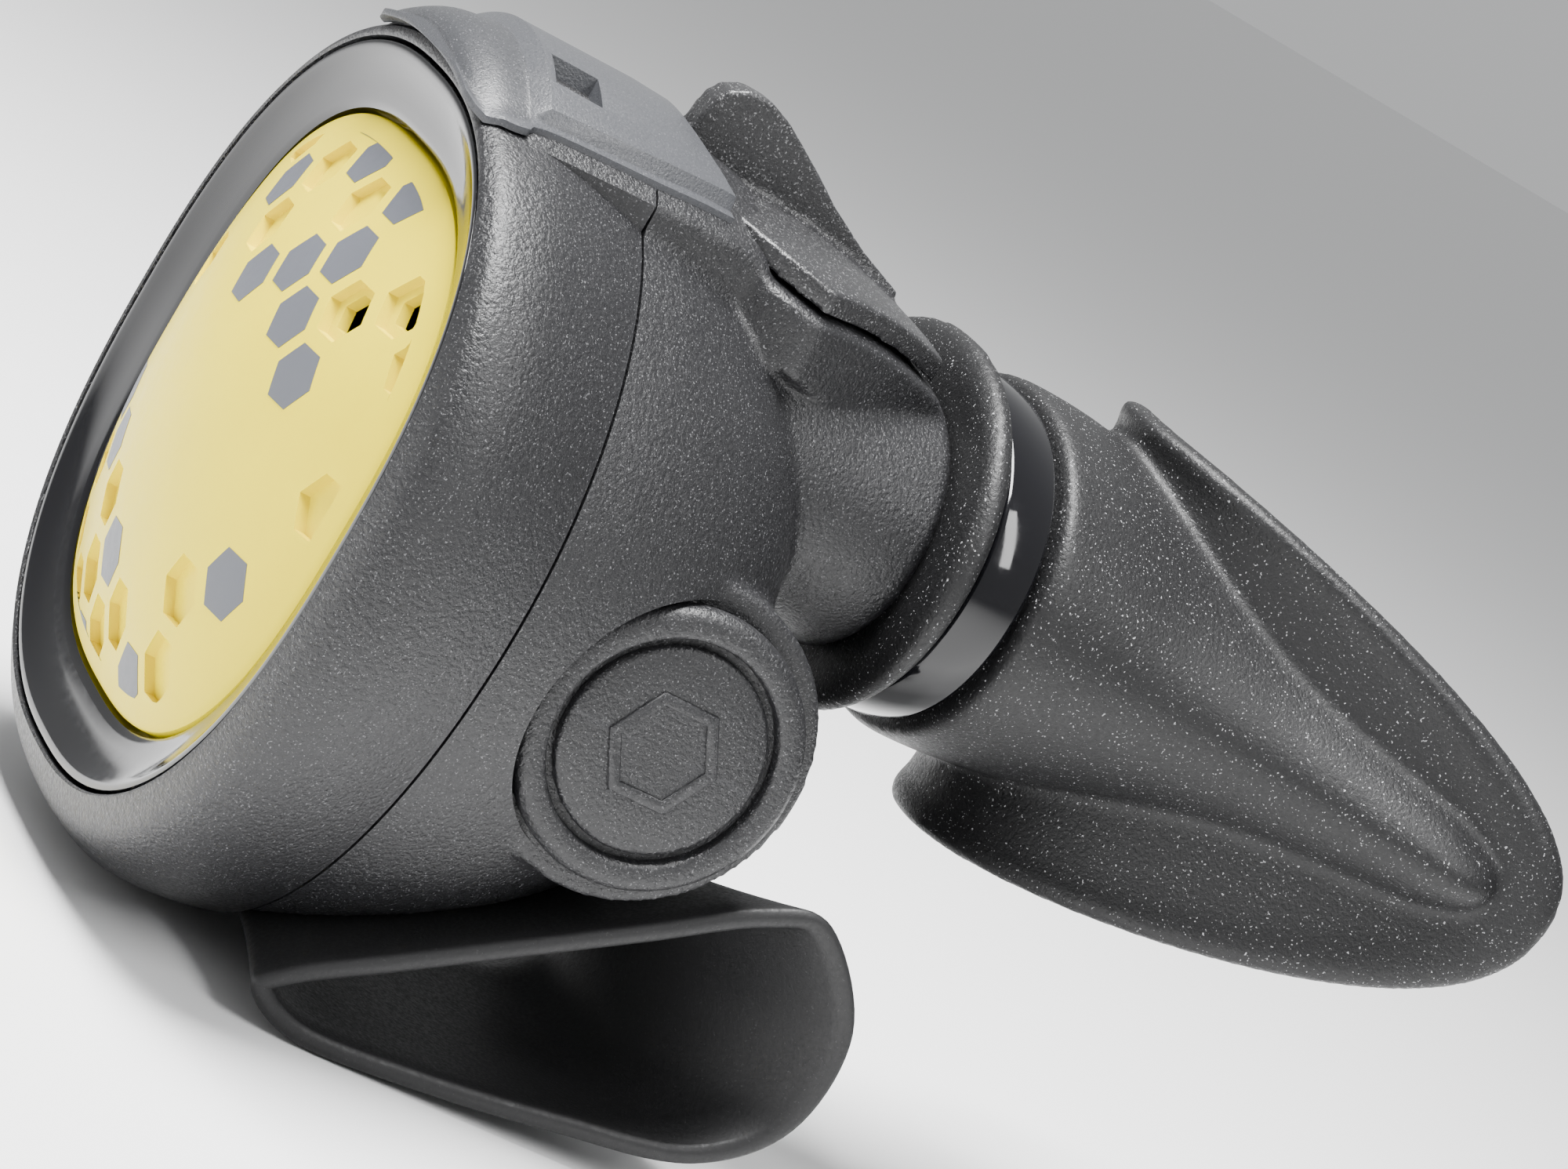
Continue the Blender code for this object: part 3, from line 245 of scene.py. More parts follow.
def remove(objects):
    for obj in objects:
        bpy.data.objects.remove(obj)


def boolean(obj, tools, operation):
    """Adds, cuts or intersects each tool with the object, and removes the tools."""
    for tool in tools:
        modifier = obj.modifiers.new("b", "BOOLEAN")
        modifier.object = tool
        modifier.operation = operation
        modifier.solver = "MANIFOLD"
    bake(obj)
    remove(tools)
    return obj


def melt(obj, tools, voxel, passes):
    """Joins solids into one skin whose edges and inner corners are softly rounded."""
    bm = bmesh.new()
    for one in [obj, *tools]:
        part = one.data.copy()
        part.transform(one.matrix_world)
        bm.from_mesh(part)
    bm.to_mesh(obj.data)
    bm.free()
    obj.matrix_world = Matrix.Identity(4)
    remove(tools)
    remesh = obj.modifiers.new("r", "REMESH")
    remesh.mode = "VOXEL"
    remesh.voxel_size = voxel * MM
    smooth = obj.modifiers.new("s", "SMOOTH")
    smooth.factor = MELT_FACTOR
    smooth.iterations = passes
    bake(obj)
    shade(obj, SOFT_SHARP)


def slice_off(obj, point, normal):
    """Takes away what lies beyond a plane and closes the cut."""
    bm = bmesh.new()
    bm.from_mesh(obj.data)
    geometry = bm.verts[:] + bm.edges[:] + bm.faces[:]
    found = bmesh.ops.bisect_plane(
        bm, geom=geometry, plane_co=Vector(point) * MM, plane_no=Vector(normal), clear_outer=True
    )
    edges = [e for e in found["geom_cut"] if isinstance(e, bmesh.types.BMEdge)]
    bmesh.ops.contextual_create(bm, geom=edges)
    bmesh.ops.recalc_face_normals(bm, faces=bm.faces)
    bm.to_mesh(obj.data)
    bm.free()
    shade(obj, SOFT_SHARP)
    return obj


# ---------------------------------------------------------------- materials

def shader_of(name, colour, roughness, metallic=0.0, specular=0.5):
    """A new material, its node tree and its shader."""
    material = bpy.data.materials.new(name)
    material.use_nodes = True
    tree = material.node_tree
    shader = tree.nodes["Principled BSDF"]
    shader.inputs["Base Color"].default_value = (*colour, 1)
    shader.inputs["Roughness"].default_value = roughness
    shader.inputs["Metallic"].default_value = metallic
    shader.inputs["Specular IOR Level"].default_value = specular
    return material, tree, shader


def noise(tree, coordinates, scale, detail=2.0, roughness=0.5):
    node = tree.nodes.new("ShaderNodeTexNoise")
    node.inputs["Scale"].default_value = scale
    node.inputs["Detail"].default_value = detail
    node.inputs["Roughness"].default_value = roughness
    tree.links.new(coordinates, node.inputs["Vector"])
    return node.outputs["Fac"]


def ramp(tree, value, low, high, first, last):
    """Goes from first to last while the value goes from low to high."""
    node = tree.nodes.new("ShaderNodeMapRange")
    node.inputs["From Min"].default_value = low
    node.inputs["From Max"].default_value = high
    node.inputs["To Min"].default_value = first
    node.inputs["To Max"].default_value = last
    tree.links.new(value, node.inputs["Value"])
    return node.outputs["Result"]


def mixed(tree, factor, first, second):
    """Mixes two colours, each given as three numbers or as a socket."""
    node = tree.nodes.new("ShaderNodeMix")
    node.data_type = "RGBA"
    tree.links.new(factor, node.inputs["Factor"])
    for socket, colour in ((node.inputs["A"], first), (node.inputs["B"], second)):
        if isinstance(colour, tuple):
            socket.default_value = (*colour, 1)
        else:
            tree.links.new(colour, socket)
    return node.outputs["Result"]


def scaled(colour, share):
    return tuple(min(channel * share, 1) for channel in colour)


def bump(tree, shader, height, strength, distance):
    node = tree.nodes.new("ShaderNodeBump")
    node.inputs["Strength"].default_value = strength
    node.inputs["Distance"].default_value = distance * MM
    tree.links.new(height, node.inputs["Height"])
    tree.links.new(node.outputs["Normal"], shader.inputs["Normal"])


def object_place(tree):
    return tree.nodes.new("ShaderNodeTexCoord").outputs["Object"]


def moulded(name, colour, speck_and_glint_colour, roughness, grain, depth, speck_and_glint_level, speck_and_glint_grain, specular):
    """Pebbled plastic or rubber with pale flecks (plain flecks on the rubber, painted glints standing for the
    grain's sparkle on the casing plastics), slow colour variation and paler worn edges.
    """
    material, tree, shader = shader_of(name, colour, roughness, specular=specular)
    place = object_place(tree)
    slow = noise(tree, place, 60, 3)
    tone = mixed(tree, slow, scaled(colour, 0.8), scaled(colour, 1.25))
    # Pale flecks in the colour: plain flecks on the rubber, and on the casing plastics painted glints, bright
    # colour standing for the sparkle of the pebbled grain.
    speck_and_glint_noise = noise(tree, place, speck_and_glint_grain, 1)
    specks_and_glints = ramp(tree, speck_and_glint_noise, speck_and_glint_level, speck_and_glint_level + SPECK_AND_GLINT_FADE, 0.0, 1.0)
    tone = mixed(tree, specks_and_glints, tone, speck_and_glint_colour)
    geometry = tree.nodes.new("ShaderNodeNewGeometry")
    worn = ramp(tree, geometry.outputs["Pointiness"], 0.52, 0.62, 0.0, 0.5)
    tone = mixed(tree, worn, tone, scaled(colour, 2.2))
    tree.links.new(tone, shader.inputs["Base Color"])
    pebble = noise(tree, place, grain, 3, 0.6)
    rough = ramp(tree, pebble, 0.3, 0.7, roughness - 0.1, roughness + 0.12)
    tree.links.new(rough, shader.inputs["Roughness"])
    bump(tree, shader, pebble, 0.75, depth)
    return material


def smooth_plastic(name, colour, roughness, ripple=0.02, specular=0.5):
    """Polished moulded plastic with a faint flow pattern and fine scuffs in its gloss."""
    material, tree, shader = shader_of(name, colour, roughness, specular=specular)
    place = object_place(tree)
    flow = noise(tree, place, 90, 2)
    tone = mixed(tree, flow, scaled(colour, 0.92), scaled(colour, 1.06))
    tree.links.new(tone, shader.inputs["Base Color"])
    scuff = noise(tree, place, 900, 4, 0.7)
    rough = ramp(tree, scuff, 0.35, 0.75, roughness, roughness + 0.1)
    tree.links.new(rough, shader.inputs["Roughness"])
    bump(tree, shader, flow, 0.25, ripple)
    return material


def metal(name, colour, roughness, stretch):
    """Turned or drawn metal with fine tool lines."""
    material, tree, shader = shader_of(name, colour, roughness, metallic=1.0)
    place = object_place(tree)
    mapping = tree.nodes.new("ShaderNodeMapping")
    mapping.inputs["Scale"].default_value = stretch
    tree.links.new(place, mapping.inputs["Vector"])
    lines = noise(tree, mapping.outputs["Vector"], 400, 3)
    rough = ramp(tree, lines, 0.3, 0.7, roughness * 0.7, roughness * 1.5)
    tree.links.new(rough, shader.inputs["Roughness"])
    bump(tree, shader, lines, 0.2, 0.02)
    tone = mixed(tree, lines, scaled(colour, 0.9), colour)
    tree.links.new(tone, shader.inputs["Base Color"])
    return material


# The casing plastics' pale fleck colours are painted glints standing for the sparkle of their grain; the
# rubber's are plain pale flecks.
CASING = moulded(
    "casing_black", (0.010, 0.010, 0.011), (0.12, 0.12, 0.125), roughness=0.38,
    grain=2400, depth=0.22, speck_and_glint_level=0.65, speck_and_glint_grain=5200, specular=0.45,
)
SATIN = moulded(
    "satin_grey", (0.030, 0.031, 0.034), (0.16, 0.16, 0.17), roughness=0.32,
    grain=3600, depth=0.07, speck_and_glint_level=0.66, speck_and_glint_grain=6500, specular=0.45,
)
LEVER_GREY = moulded(
    "lever_grey", (0.016, 0.016, 0.017), (0.20, 0.20, 0.205), roughness=0.30,
    grain=2600, depth=0.16, speck_and_glint_level=0.64, speck_and_glint_grain=5200, specular=0.5,
)
RUBBER = moulded(
    "mouth_rubber", (0.007, 0.007, 0.0075), (0.34, 0.34, 0.35), roughness=0.46,
    grain=3000, depth=0.12, speck_and_glint_level=0.68, speck_and_glint_grain=4300, specular=0.35,
)
TEE_RUBBER = moulded(
    "tee_rubber", (0.010, 0.010, 0.0105), (0.03, 0.03, 0.031), roughness=0.5,
    grain=2800, depth=0.04, speck_and_glint_level=0.68, speck_and_glint_grain=5000, specular=0.35,
)
BLACK_GLOSS = smooth_plastic("black_gloss", (0.003, 0.003, 0.004), 0.06, ripple=0.008)
YELLOW = smooth_plastic("button_yellow", (0.82, 0.66, 0.0), 0.30, specular=0.12)
PRINT = smooth_plastic("printed_grey", (0.10, 0.105, 0.12), 0.35, specular=0.2)
SEAL = smooth_plastic("seal_rubber_black", (0.02, 0.02, 0.02), 0.5)
CLEAR = smooth_plastic("silicone", (0.35, 0.35, 0.36), 0.35)
STEEL = metal("spring_steel", (0.60, 0.60, 0.62), 0.28, (1, 6, 6))
PLATED = metal("plated_metal", (0.66, 0.65, 0.63), 0.18, (8, 1, 1))


def finish_piece(obj, material, slot, body, *nodes):
    """Gives a piece its look and its body, and hides the named CAD nodes that it stands for; the slot is not
    used.
    """
    obj.data.materials.clear()
    obj.data.materials.append(material)
    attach(obj, body)
    if nodes:
        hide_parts(*nodes)


# ---------------------------------------------------------------- casing

# Shares of the bowl's depth, and how far its outline has drawn in there.
BOWL_ROWS = [(0.0, 0.0), (0.2, 0.9), (0.45, 2.9), (0.65, 5.4), (0.82, 8.8), (0.94, 13.0), (1.0, 18.0)]
BOWL_FORWARD = 4.0
HOLLOW_FORWARD = 5.0

# The mouth tube's place along Y, half width and half height; its last two rows carry the mouthpiece.
TUBE_ROWS = [(-4.0, 20.3, 13.8), (9.0, 18.9, 13.2), (18.5, 18.3, 13.0)]
TUBE_SEAT_ROWS = [(18.6, 18.3, 13.0), (28.0, 18.3, 13.0)]
TUBE_SEAT = 1.1
TUBE_WALL = 3.3
TUBE_POWER = 2.1
AIRWAY_SHIFT = 4.0

BOSS_RADIUS = 14.5
BOSS_START = 13.8
SEAT_RADIUS = 13.0
SEAT_REACH = 20
COLLAR_RADIUS = 13.6
COLLAR_SPAN = (14, 18.6)
PORT_RADIUS = 10.5
PORT_SPAN = (12, 25)
PORT_ALONG = -15.2
BARREL_HOLE_RADIUS = 8.8
BARREL_HOLE_SPAN = (-5, 90)
SHAFT_HOLE_RADIUS = 2.7
SHAFT_HOLE_SPAN = (-25, 5)
CASE_VOXEL = 0.55
CASE_MELT_PASSES = 4

LEVER_CHEEK = math.radians(105)
LEVER_STEPS = 32
TAIL_HALF_WIDTH = 8.5
TAIL_Y = 15.5
DECK_TOP = -2.4
DECK_BOTTOM = -10.5
DECK_GROW = 1.6
LEDGE_GROW = 1.4


def bowl_rows(inset=0.0):
    """Rows of place along Y, half width, top and bottom of the rear case's cup."""
    depth = REAR_WALL_Y - PARTING_Y
    rows = []
    for share, shrink in BOWL_ROWS:
        less = shrink + inset
        y = min(PARTING_Y + depth * share, REAR_WALL_Y - inset)
        rows.append((y, CASE_HALF_WIDTH - less, CASE_TOP - less, CASE_BOTTOM - less))
    return catmull(rows, 5)


def slant_point(s, t, x=0.0):
    """A place by the slanted face under the case: s along it to the rear and t out of it."""
    return Vector((CASE_X + x, 0, 0)) + SLANT_ALONG * s + SLANT_OUT * t


def bowl(name, inset, forward):
    """The rear case's cup, cut off by the slanted face that carries the exhaust tee."""
    rows = bowl_rows(inset)
    first = rows[0]
    rings = [oval(first[0] - forward, *first[1:], CASE_POWER)]
    rings += [oval(*row, CASE_POWER) for row in rows]
    return slice_off(loft(name, rings), slant_point(0, SLANT_OFFSET - inset), SLANT_OUT)


def tube(name, inset, seat):
    """The mouth tube, or its airway when inset; its end steps in by a seat for the mouthpiece."""
    rows = [(y, w - inset, h - inset) for y, w, h in TUBE_ROWS]
    rows += [(y, w - seat - inset, h - seat - inset) for y, w, h in TUBE_SEAT_ROWS]
    return loft(name, [oval(y, w, h, h, TUBE_POWER, MOUTH_Z) for y, w, h in rows])


def dome_profile(radius, height, points=10):
    steps = [radius * (i + 1) / points for i in range(points)]
    return [(r, height - r * r / (2 * DISC_DOME)) for r in steps]


def lever_outline(grow):
    """The lever from above: a round front that narrows to a blunt tail."""
    front = DISC_RADIUS + grow
    points = []
    for i in range(LEVER_STEPS + 1):
        angle = LEVER_CHEEK + (2 * math.pi - 2 * LEVER_CHEEK) * i / LEVER_STEPS
        points.append((PIVOT.x + front * math.sin(angle), PIVOT.y + front * math.cos(angle)))
    for x in (-TAIL_HALF_WIDTH, TAIL_HALF_WIDTH):
        points.append((PIVOT.x + x + math.copysign(grow, x), TAIL_Y + grow))
    return points


def lever_shape(name, profile, grow):
    """A profile turned about the lever's pivot and kept inside the lever's outline."""
    solid = lathe(name, profile, PIVOT, PIVOT_AXIS, 120)
    return boolean(solid, [prism("outline", lever_outline(grow), 0, OUTLINE_HEIGHT, "Z")], "INTERSECT")


def deck():
    """The seat under the flow lever, with its dark ledge."""
    radius = DISC_RADIUS + DECK_GROW
    profile = [(0, DECK_TOP), *dome_profile(radius, DECK_TOP), (radius, DECK_BOTTOM), (0, DECK_BOTTOM)]
    return lever_shape("deck", profile, LEDGE_GROW)


def make_case():
    case = bowl("case_shell", 0.0, BOWL_FORWARD)
    port_place = slant_point(PORT_ALONG, 0)
    solids = [
        cylinder("boss", BOSS_RADIUS, (BOSS_START, CAP_LOW.x - GAP)),
        cylinder("collar", COLLAR_RADIUS, COLLAR_SPAN, port_place, SLANT_OUT),
        tube("tube", 0.0, TUBE_SEAT),
        deck(),
        tray("tray", PARTING_Y - 3, -6),
    ]
    melt(case, solids, CASE_VOXEL, CASE_MELT_PASSES)
    slice_off(case, (0, PARTING_Y + SPLIT, 0), (0, -1, 0))
    hollow = bowl("hollow", CASE_WALL, HOLLOW_FORWARD)
    airway = tube("airway", TUBE_WALL, 0.0)
    airway.location.y = AIRWAY_SHIFT * MM
    cuts = [
        hollow,
        airway,
        cylinder("port", PORT_RADIUS, PORT_SPAN, port_place, SLANT_OUT),
        cylinder("barrel", BARREL_HOLE_RADIUS, BARREL_HOLE_SPAN),
        cylinder("shaft", SHAFT_HOLE_RADIUS, SHAFT_HOLE_SPAN, PIVOT, PIVOT_AXIS, 48),
        cylinder("cap_seat", SEAT_RADIUS, (CAP_LOW.x - GAP, CAP_LOW.x + SEAT_REACH)),
        cylinder("nut_seat", SEAT_RADIUS, (NUT_HIGH.x - SEAT_REACH, NUT_HIGH.x + GAP)),
    ]
    boolean(case, cuts, "DIFFERENCE")
    shade(case, SOFT_SHARP)
    finish_piece(case, CASING, "case_plastic", "casing", "rear_case")


# ---------------------------------------------------------------- cover and bezel

# Shares of the way from the parting line to the rim, and of the bulge there.
COVER_SWELL = [(0.0, 0.0), (0.3, 0.62), (0.6, 1.0), (0.8, 0.85), (0.93, 0.45), (1.0, -0.3)]
POCKET_INSET = 1.3
POCKET_DEPTH = 3.5
OPENING_INSET = 5.2
OPENING_BACK_Y = -24.9
STOP_Y = -20.4
STOP_RADIUS = 29.5
CHAMBER_RADIUS = 31.3

# Insets from the rim and depths under it, from the outer edge over the dish to the back.
BEZEL_PROFILE = [
    (1.6, 0.7), (1.6, 0.35), (1.75, 0.08), (2.1, 0.0), (2.5, 0.12), (3.1, 0.42), (3.9, 0.78),
    (4.8, 1.1), (5.8, 1.38), (6.8, 1.62), (7.3, 1.78), (7.55, 2.0), (BEZEL_WIDTH, 2.4),
    (BEZEL_WIDTH, 5.0), (6.4, 5.0), (6.3, 3.2), (1.6, 3.2),
]


def rim(y, inset):
    share = min(inset / BEZEL_WIDTH, 1.0)
    power = RIM_POWER + (BUTTON_POWER - RIM_POWER) * share
    return oval(y, RIM_HALF_WIDTH - inset, RIM_HALF_HEIGHT - inset, None, power)


def make_cover():
    back = np.array((CASE_HALF_WIDTH, CASE_TOP, CASE_BOTTOM, CASE_POWER))
    front = np.array((RIM_HALF_WIDTH, RIM_HALF_HEIGHT, RIM_HALF_HEIGHT, RIM_POWER))
    depth = PARTING_Y - GAP / 2 - RIM_Y
    rows = []
    for share, swell in COVER_SWELL:
        stand = BULGE * swell * np.array((1, UPPER_BULGE, 1, 0))
        rows.append((RIM_Y + depth * (1 - share), *(back + (front - back) * share + stand)))
    outer = [oval(*row) for row in catmull(rows, 6)]
    outer.append(rim(RIM_Y - 0.15, 1.05))
    pocket_y = RIM_Y + POCKET_DEPTH
    inner = [rim(RIM_Y, POCKET_INSET), rim(pocket_y, POCKET_INSET)]
    inner += [rim(pocket_y, OPENING_INSET), rim(OPENING_BACK_Y, OPENING_INSET)]
    inner += [oval(STOP_Y, STOP_RADIUS, STOP_RADIUS), oval(STOP_Y, CHAMBER_RADIUS, CHAMBER_RADIUS)]
    inner.append(oval(PARTING_Y - SPLIT, CHAMBER_RADIUS, CHAMBER_RADIUS))
    cover = loft("cover_shell", outer + inner, looped=True)
    boolean(cover, [tray("cover_tray", TRAY_ROWS[0][0], PARTING_Y - SPLIT)], "UNION")
    shade(cover, SOFT_SHARP)
    finish_piece(cover, CASING, "case_plastic", "casing", "front_cover")


def make_bezel():
    bezel = loft("bezel_dish", [rim(RIM_Y + y, inset) for inset, y in BEZEL_PROFILE], looped=True)
    finish_piece(bezel, BLACK_GLOSS, "gloss_black", "casing", "bezel_ring")


# ---------------------------------------------------------------- purge button

BUTTON_GAP = 0.4
BUTTON_HALF_WIDTH = RIM_HALF_WIDTH - BEZEL_WIDTH - BUTTON_GAP
BUTTON_HALF_HEIGHT = RIM_HALF_HEIGHT - BEZEL_WIDTH - BUTTON_GAP
BUTTON_DOME = 6.5
BUTTON_WALL = 2.0
BUTTON_EDGE_Y = RIM_Y + 1.9
BUTTON_EDGE = [(0.972, 0.05), (0.988, 0.22), (0.997, 0.5), (1.0, 0.9)]
BUTTON_EDGE_RISE = 0.055
FLANGE_Y = RIM_Y + 5.3
FLANGE_BACK_Y = FLANGE_Y + 1.2
FLANGE_STAND = 1.9
INNER_SHARES = (0.93, 0.8, 0.6, 0.4, 0.2, 0.02)
STEM_RADIUS = 3.0
STEM_SPAN = (-38.5, -19.0)

# Cells are counted by column and row; each column stands half a cell off its neighbours.
CELL = 6.7
CELL_FLATS = 5.2
CELL_ORIGIN = (-2.48, -3.0)
CELL_REACH = 0.925
HALF_HEX = math.radians(30)
CUT_FRONT = -4.0
RECESS = 1.0
HOLE_BACK = 6.0
HOLE_SHARE = 0.66
PRINT_FRONT = -0.04
PRINT_BACK = 0.2
PRINTED = [
    (-1, 4), (-2, 3), (0, 4), (2, 4), (0, 2), (1, 2), (2, 3), (2, 2), (3, 1), (4, -1),
    (-3, -1), (-2, -1), (0, -2), (-2, -4), (-1, -4), (0, -4), (2, -3),
]
RECESSED = [
    (-3, 3), (-1, 3), (1, 3), (-1, 2), (-3, 1), (5, 2), (5, 0), (-1, -2), (-3, -2), (-3, -3),
    (-1, -3), (-2, -3), (-3, -4), (0, -3), (1, -3), (3, -2), (3, -3),
]
THROUGH = [(3, 2), (4, 3)]


def button_power(share):
    """The outline's power: an ellipse at the button's middle, squarer at its edge."""
    return 2.0 + (BUTTON_POWER - 2.0) * min(share, 1.0)


def button_ring(share, y, grow=0.0):
    half_width = BUTTON_HALF_WIDTH * share + grow
    half_height = BUTTON_HALF_HEIGHT * share + grow
    return oval(y, half_width, half_height, None, button_power(share))


def dome_y(share, inset=0.0):
    return BUTTON_EDGE_Y - BUTTON_DOME * (1 - share * share) + inset


def share_at(x, z):
    """How far out on the button a place is: 0 at its middle, 1 at its edge."""
    share = 0.5
    for _ in range(12):
        power = button_power(share)
        share = (abs(x / BUTTON_HALF_WIDTH) ** power + abs(z / BUTTON_HALF_HEIGHT) ** power) ** (1 / power)
    return share


def cell_outline(cell, flats, per_edge=3):
    """A cell's outline about the button's middle, kept inside the button's edge."""
    column, row = cell
    x0 = CELL_ORIGIN[0] + column * CELL * math.cos(HALF_HEX)
    z0 = CELL_ORIGIN[1] + (row + 0.5 * (column % 2)) * CELL
    radius = flats / 2 / math.cos(HALF_HEX)
    corners = []
    for i in range(6):
        angle = math.radians(60 * i)
        corners.append((x0 + radius * math.cos(angle), z0 + radius * math.sin(angle)))
    outline = []
    for (xa, za), (xb, zb) in zip(corners, corners[1:] + corners[:1]):
        for i in range(per_edge):
            x = xa + (xb - xa) * i / per_edge
            z = za + (zb - za) * i / per_edge
            pull = min(1.0, CELL_REACH / max(share_at(x, z), 1e-3))
            outline.append((x * pull, z * pull))
    return outline


def cell_solid(name, outline, front, back):
    """A cell between two depths under the button's skin; its ends follow the skin's dome."""
    middle = np.mean(outline, axis=0)

    def ring(depth, scale=1.0):
        points = []
        for x, z in outline:
            x = middle[0] + (x - middle[0]) * scale
            z = middle[1] + (z - middle[1]) * scale
            points.append((CASE_X + x, dome_y(share_at(x, z), depth), CASE_Z + z))
        return points

    rings = [ring(front, 0.05), ring(front, 0.5), ring(front), ring(back), ring(back, 0.5), ring(back, 0.05)]
    return loft(name, rings, sharp=25)


def make_button():
    shares = [0.02, *np.linspace(0.08, 0.95, 26)]
    outer = [button_ring(share, dome_y(share)) for share in shares]
    edge_y = BUTTON_EDGE_Y - BUTTON_DOME * BUTTON_EDGE_RISE
    outer += [button_ring(share, edge_y + drop) for share, drop in BUTTON_EDGE]
    side = [button_ring(1.0, FLANGE_Y), button_ring(1.0, FLANGE_Y, FLANGE_STAND)]
    side += [button_ring(1.0, FLANGE_BACK_Y, FLANGE_STAND), button_ring(INNER_SHARES[0], FLANGE_BACK_Y)]
    inner = [button_ring(share, dome_y(share, BUTTON_WALL)) for share in INNER_SHARES]
    button = loft("honeycomb_button", outer + side + inner)
    stem = cylinder("stem", STEM_RADIUS, STEM_SPAN, (CASE_X, 0, CASE_Z), (0, 1, 0), 48)
    boolean(button, [stem], "UNION")
    cuts = [
        cell_solid("recess", cell_outline(cell, CELL_FLATS), CUT_FRONT, RECESS)
        for cell in RECESSED + THROUGH
    ]
    cuts += [
        cell_solid("hole", cell_outline(cell, CELL_FLATS * HOLE_SHARE), CUT_FRONT, HOLE_BACK)
        for cell in THROUGH
    ]
    boolean(button, cuts, "DIFFERENCE")
    shade(button, 30)
    finish_piece(button, YELLOW, "purge_yellow", "purge", "purge_button")


def make_print():
    solids = [
        cell_solid("print", cell_outline(cell, CELL_FLATS), PRINT_FRONT, PRINT_BACK)
        for cell in PRINTED
    ]
    printed = solids[0]
    bm = bmesh.new()
    for solid in solids:
        bm.from_mesh(solid.data)
    bm.to_mesh(printed.data)
    bm.free()
    remove(solids[1:])
    printed.name = "printed_cells"
    shade(printed, 30)
    finish_piece(printed, PRINT, "purge_yellow", "purge")


# ---------------------------------------------------------------- side cap and barrel

BORE_RADIUS = 4.2
ROOM_RADIUS = 6.0
THREAD_RADIUS = 7.1
THREAD_ROOT = 6.55
THREAD_START = 0.9
THREAD_PITCH = 1.4
THREAD_PAST_NUT = 3.5
BARREL_SLOTS = [((54.6, -20, -5), (60.1, -1.5, 5)), ((62, 0, 1.5), (70, 20, 20)), ((32, -4, -20), (38, 4, 0))]
NUT_FLATS = 22
NUT_CHAMFER = 0.9


def make_cap():
    seat = CAP_LOW.x
    face = CAP_HIGH.x
    profile = [
        (0, seat), (12.1, seat), (12.4, seat + 0.2), (12.5, seat + 0.6), (12.5, face - 1.1),
        (12.35, face - 0.55), (11.9, face - 0.15), (11.3, face), (10.4, face), (10.05, face - 0.15),
        (9.9, face - 0.5), (9.85, face - 1.35), (0, face - 1.35),
    ]
    cap = lathe("cap_rim", profile, steps=128, sharp=60)
    finish_piece(cap, CASING, "case_plastic", "casing", "side_cap")
    disc = [
        (0, face - 1.2), (9.15, face - 1.2), (9.15, face - 0.7), (9.0, face - 0.45),
        (8.7, face - 0.3), (0, face - 0.3),
    ]
    plate = lathe("cap_plate", disc, steps=128, sharp=60)
    boolean(plate, [hex_band(face - 0.6, face - 0.05)], "UNION")
    shade(plate, SOFT_SHARP)
    finish_piece(plate, CASING, "case_plastic", "casing", "side_cap_disc")


def hex_band(low, high):
    """A plain raised hexagonal outline."""
    step = high - 0.12
    profile = [(5.4, low), (5.4, step), (5.25, high), (4.35, high), (4.2, step), (4.2, low)]
    rings = [[(x, *corner) for corner in hexagon(radius)] for radius, x in profile]
    return loft("hex_band", rings, looped=True, sharp=20)


def make_barrel():
    thread = []
    x = THREAD_START
    while x < NUT_LOW.x + THREAD_PAST_NUT:
        thread += [(THREAD_RADIUS, x), (THREAD_ROOT, x + 0.55), (THREAD_ROOT, x + 0.65)]
        thread.append((THREAD_RADIUS, x + 1.2))
        x += THREAD_PITCH
    inlet = [(BORE_RADIUS, 0.3), (4.5, 0.0), (6.4, 0.0), (7.0, 0.6)]
    outside = [(THREAD_RADIUS, 13.4), (8.4, 14.0), (8.5, 14.2), (8.5, BARREL_END)]
    guide = [(ROOM_RADIUS, 54.6), (2.5, 54.6), (2.5, 53.0), (ROOM_RADIUS, 53.0)]
    bore = [(ROOM_RADIUS, 17.0), (BORE_RADIUS, 16.0)]
    profile = [*inlet, *thread, *outside, (ROOM_RADIUS, BARREL_END), *guide, *bore]
    barrel = lathe("threaded_barrel", profile, steps=72, sharp=35)
    boolean(barrel, [box_solid(low, high) for low, high in BARREL_SLOTS], "DIFFERENCE")
    shade(barrel, 35)
    finish_piece(barrel, PLATED, "plated_brass", "casing", "valve_barrel")


def make_nut():
    start, end = NUT_LOW.x, NUT_HIGH.x
    profile = [
        (7.2, start), (11.0, start), (12.7, start + NUT_CHAMFER),
        (12.7, end - NUT_CHAMFER), (11.0, end), (7.2, end),
    ]
    nut = lathe("chamfered_nut", profile, sharp=30)
    outline = hexagon(NUT_FLATS / 2 / math.cos(HALF_HEX))
    boolean(nut, [prism("hexagon", outline, start - 2, end + 2, "X")], "INTERSECT")
    shade(nut, 25)
    finish_piece(nut, PLATED, "plated_brass", "casing", "lock_nut")


# ---------------------------------------------------------------- mouthpiece

SHIELD_FRONT = 39.5
SHIELD_SWEEP = 43.0
SHIELD_HALF_WIDTH = 33.5
SHIELD_TOP = 19.5
SHIELD_BOTTOM = 23.0
SHIELD_POWER = 2.3

# Shares of the shield's outline and depths behind its face, from the middle round the rim and back.
SHIELD_ROWS = [
    (0.03, 0.0), (0.3, 0.0), (0.55, 0.0), (0.75, 0.0), (0.88, -0.1), (0.94, -0.5), (0.975, -0.45),
    (0.995, 0.2), (1.0, 1.1), (0.995, 2.0), (0.975, 2.6), (0.94, 2.6), (0.88, 2.3), (0.75, 2.2),
    (0.55, 2.2), (0.3, 2.2), (0.03, 2.2),
]

BODY_WIDTH = 19.5
BODY_HEIGHT = 14.2
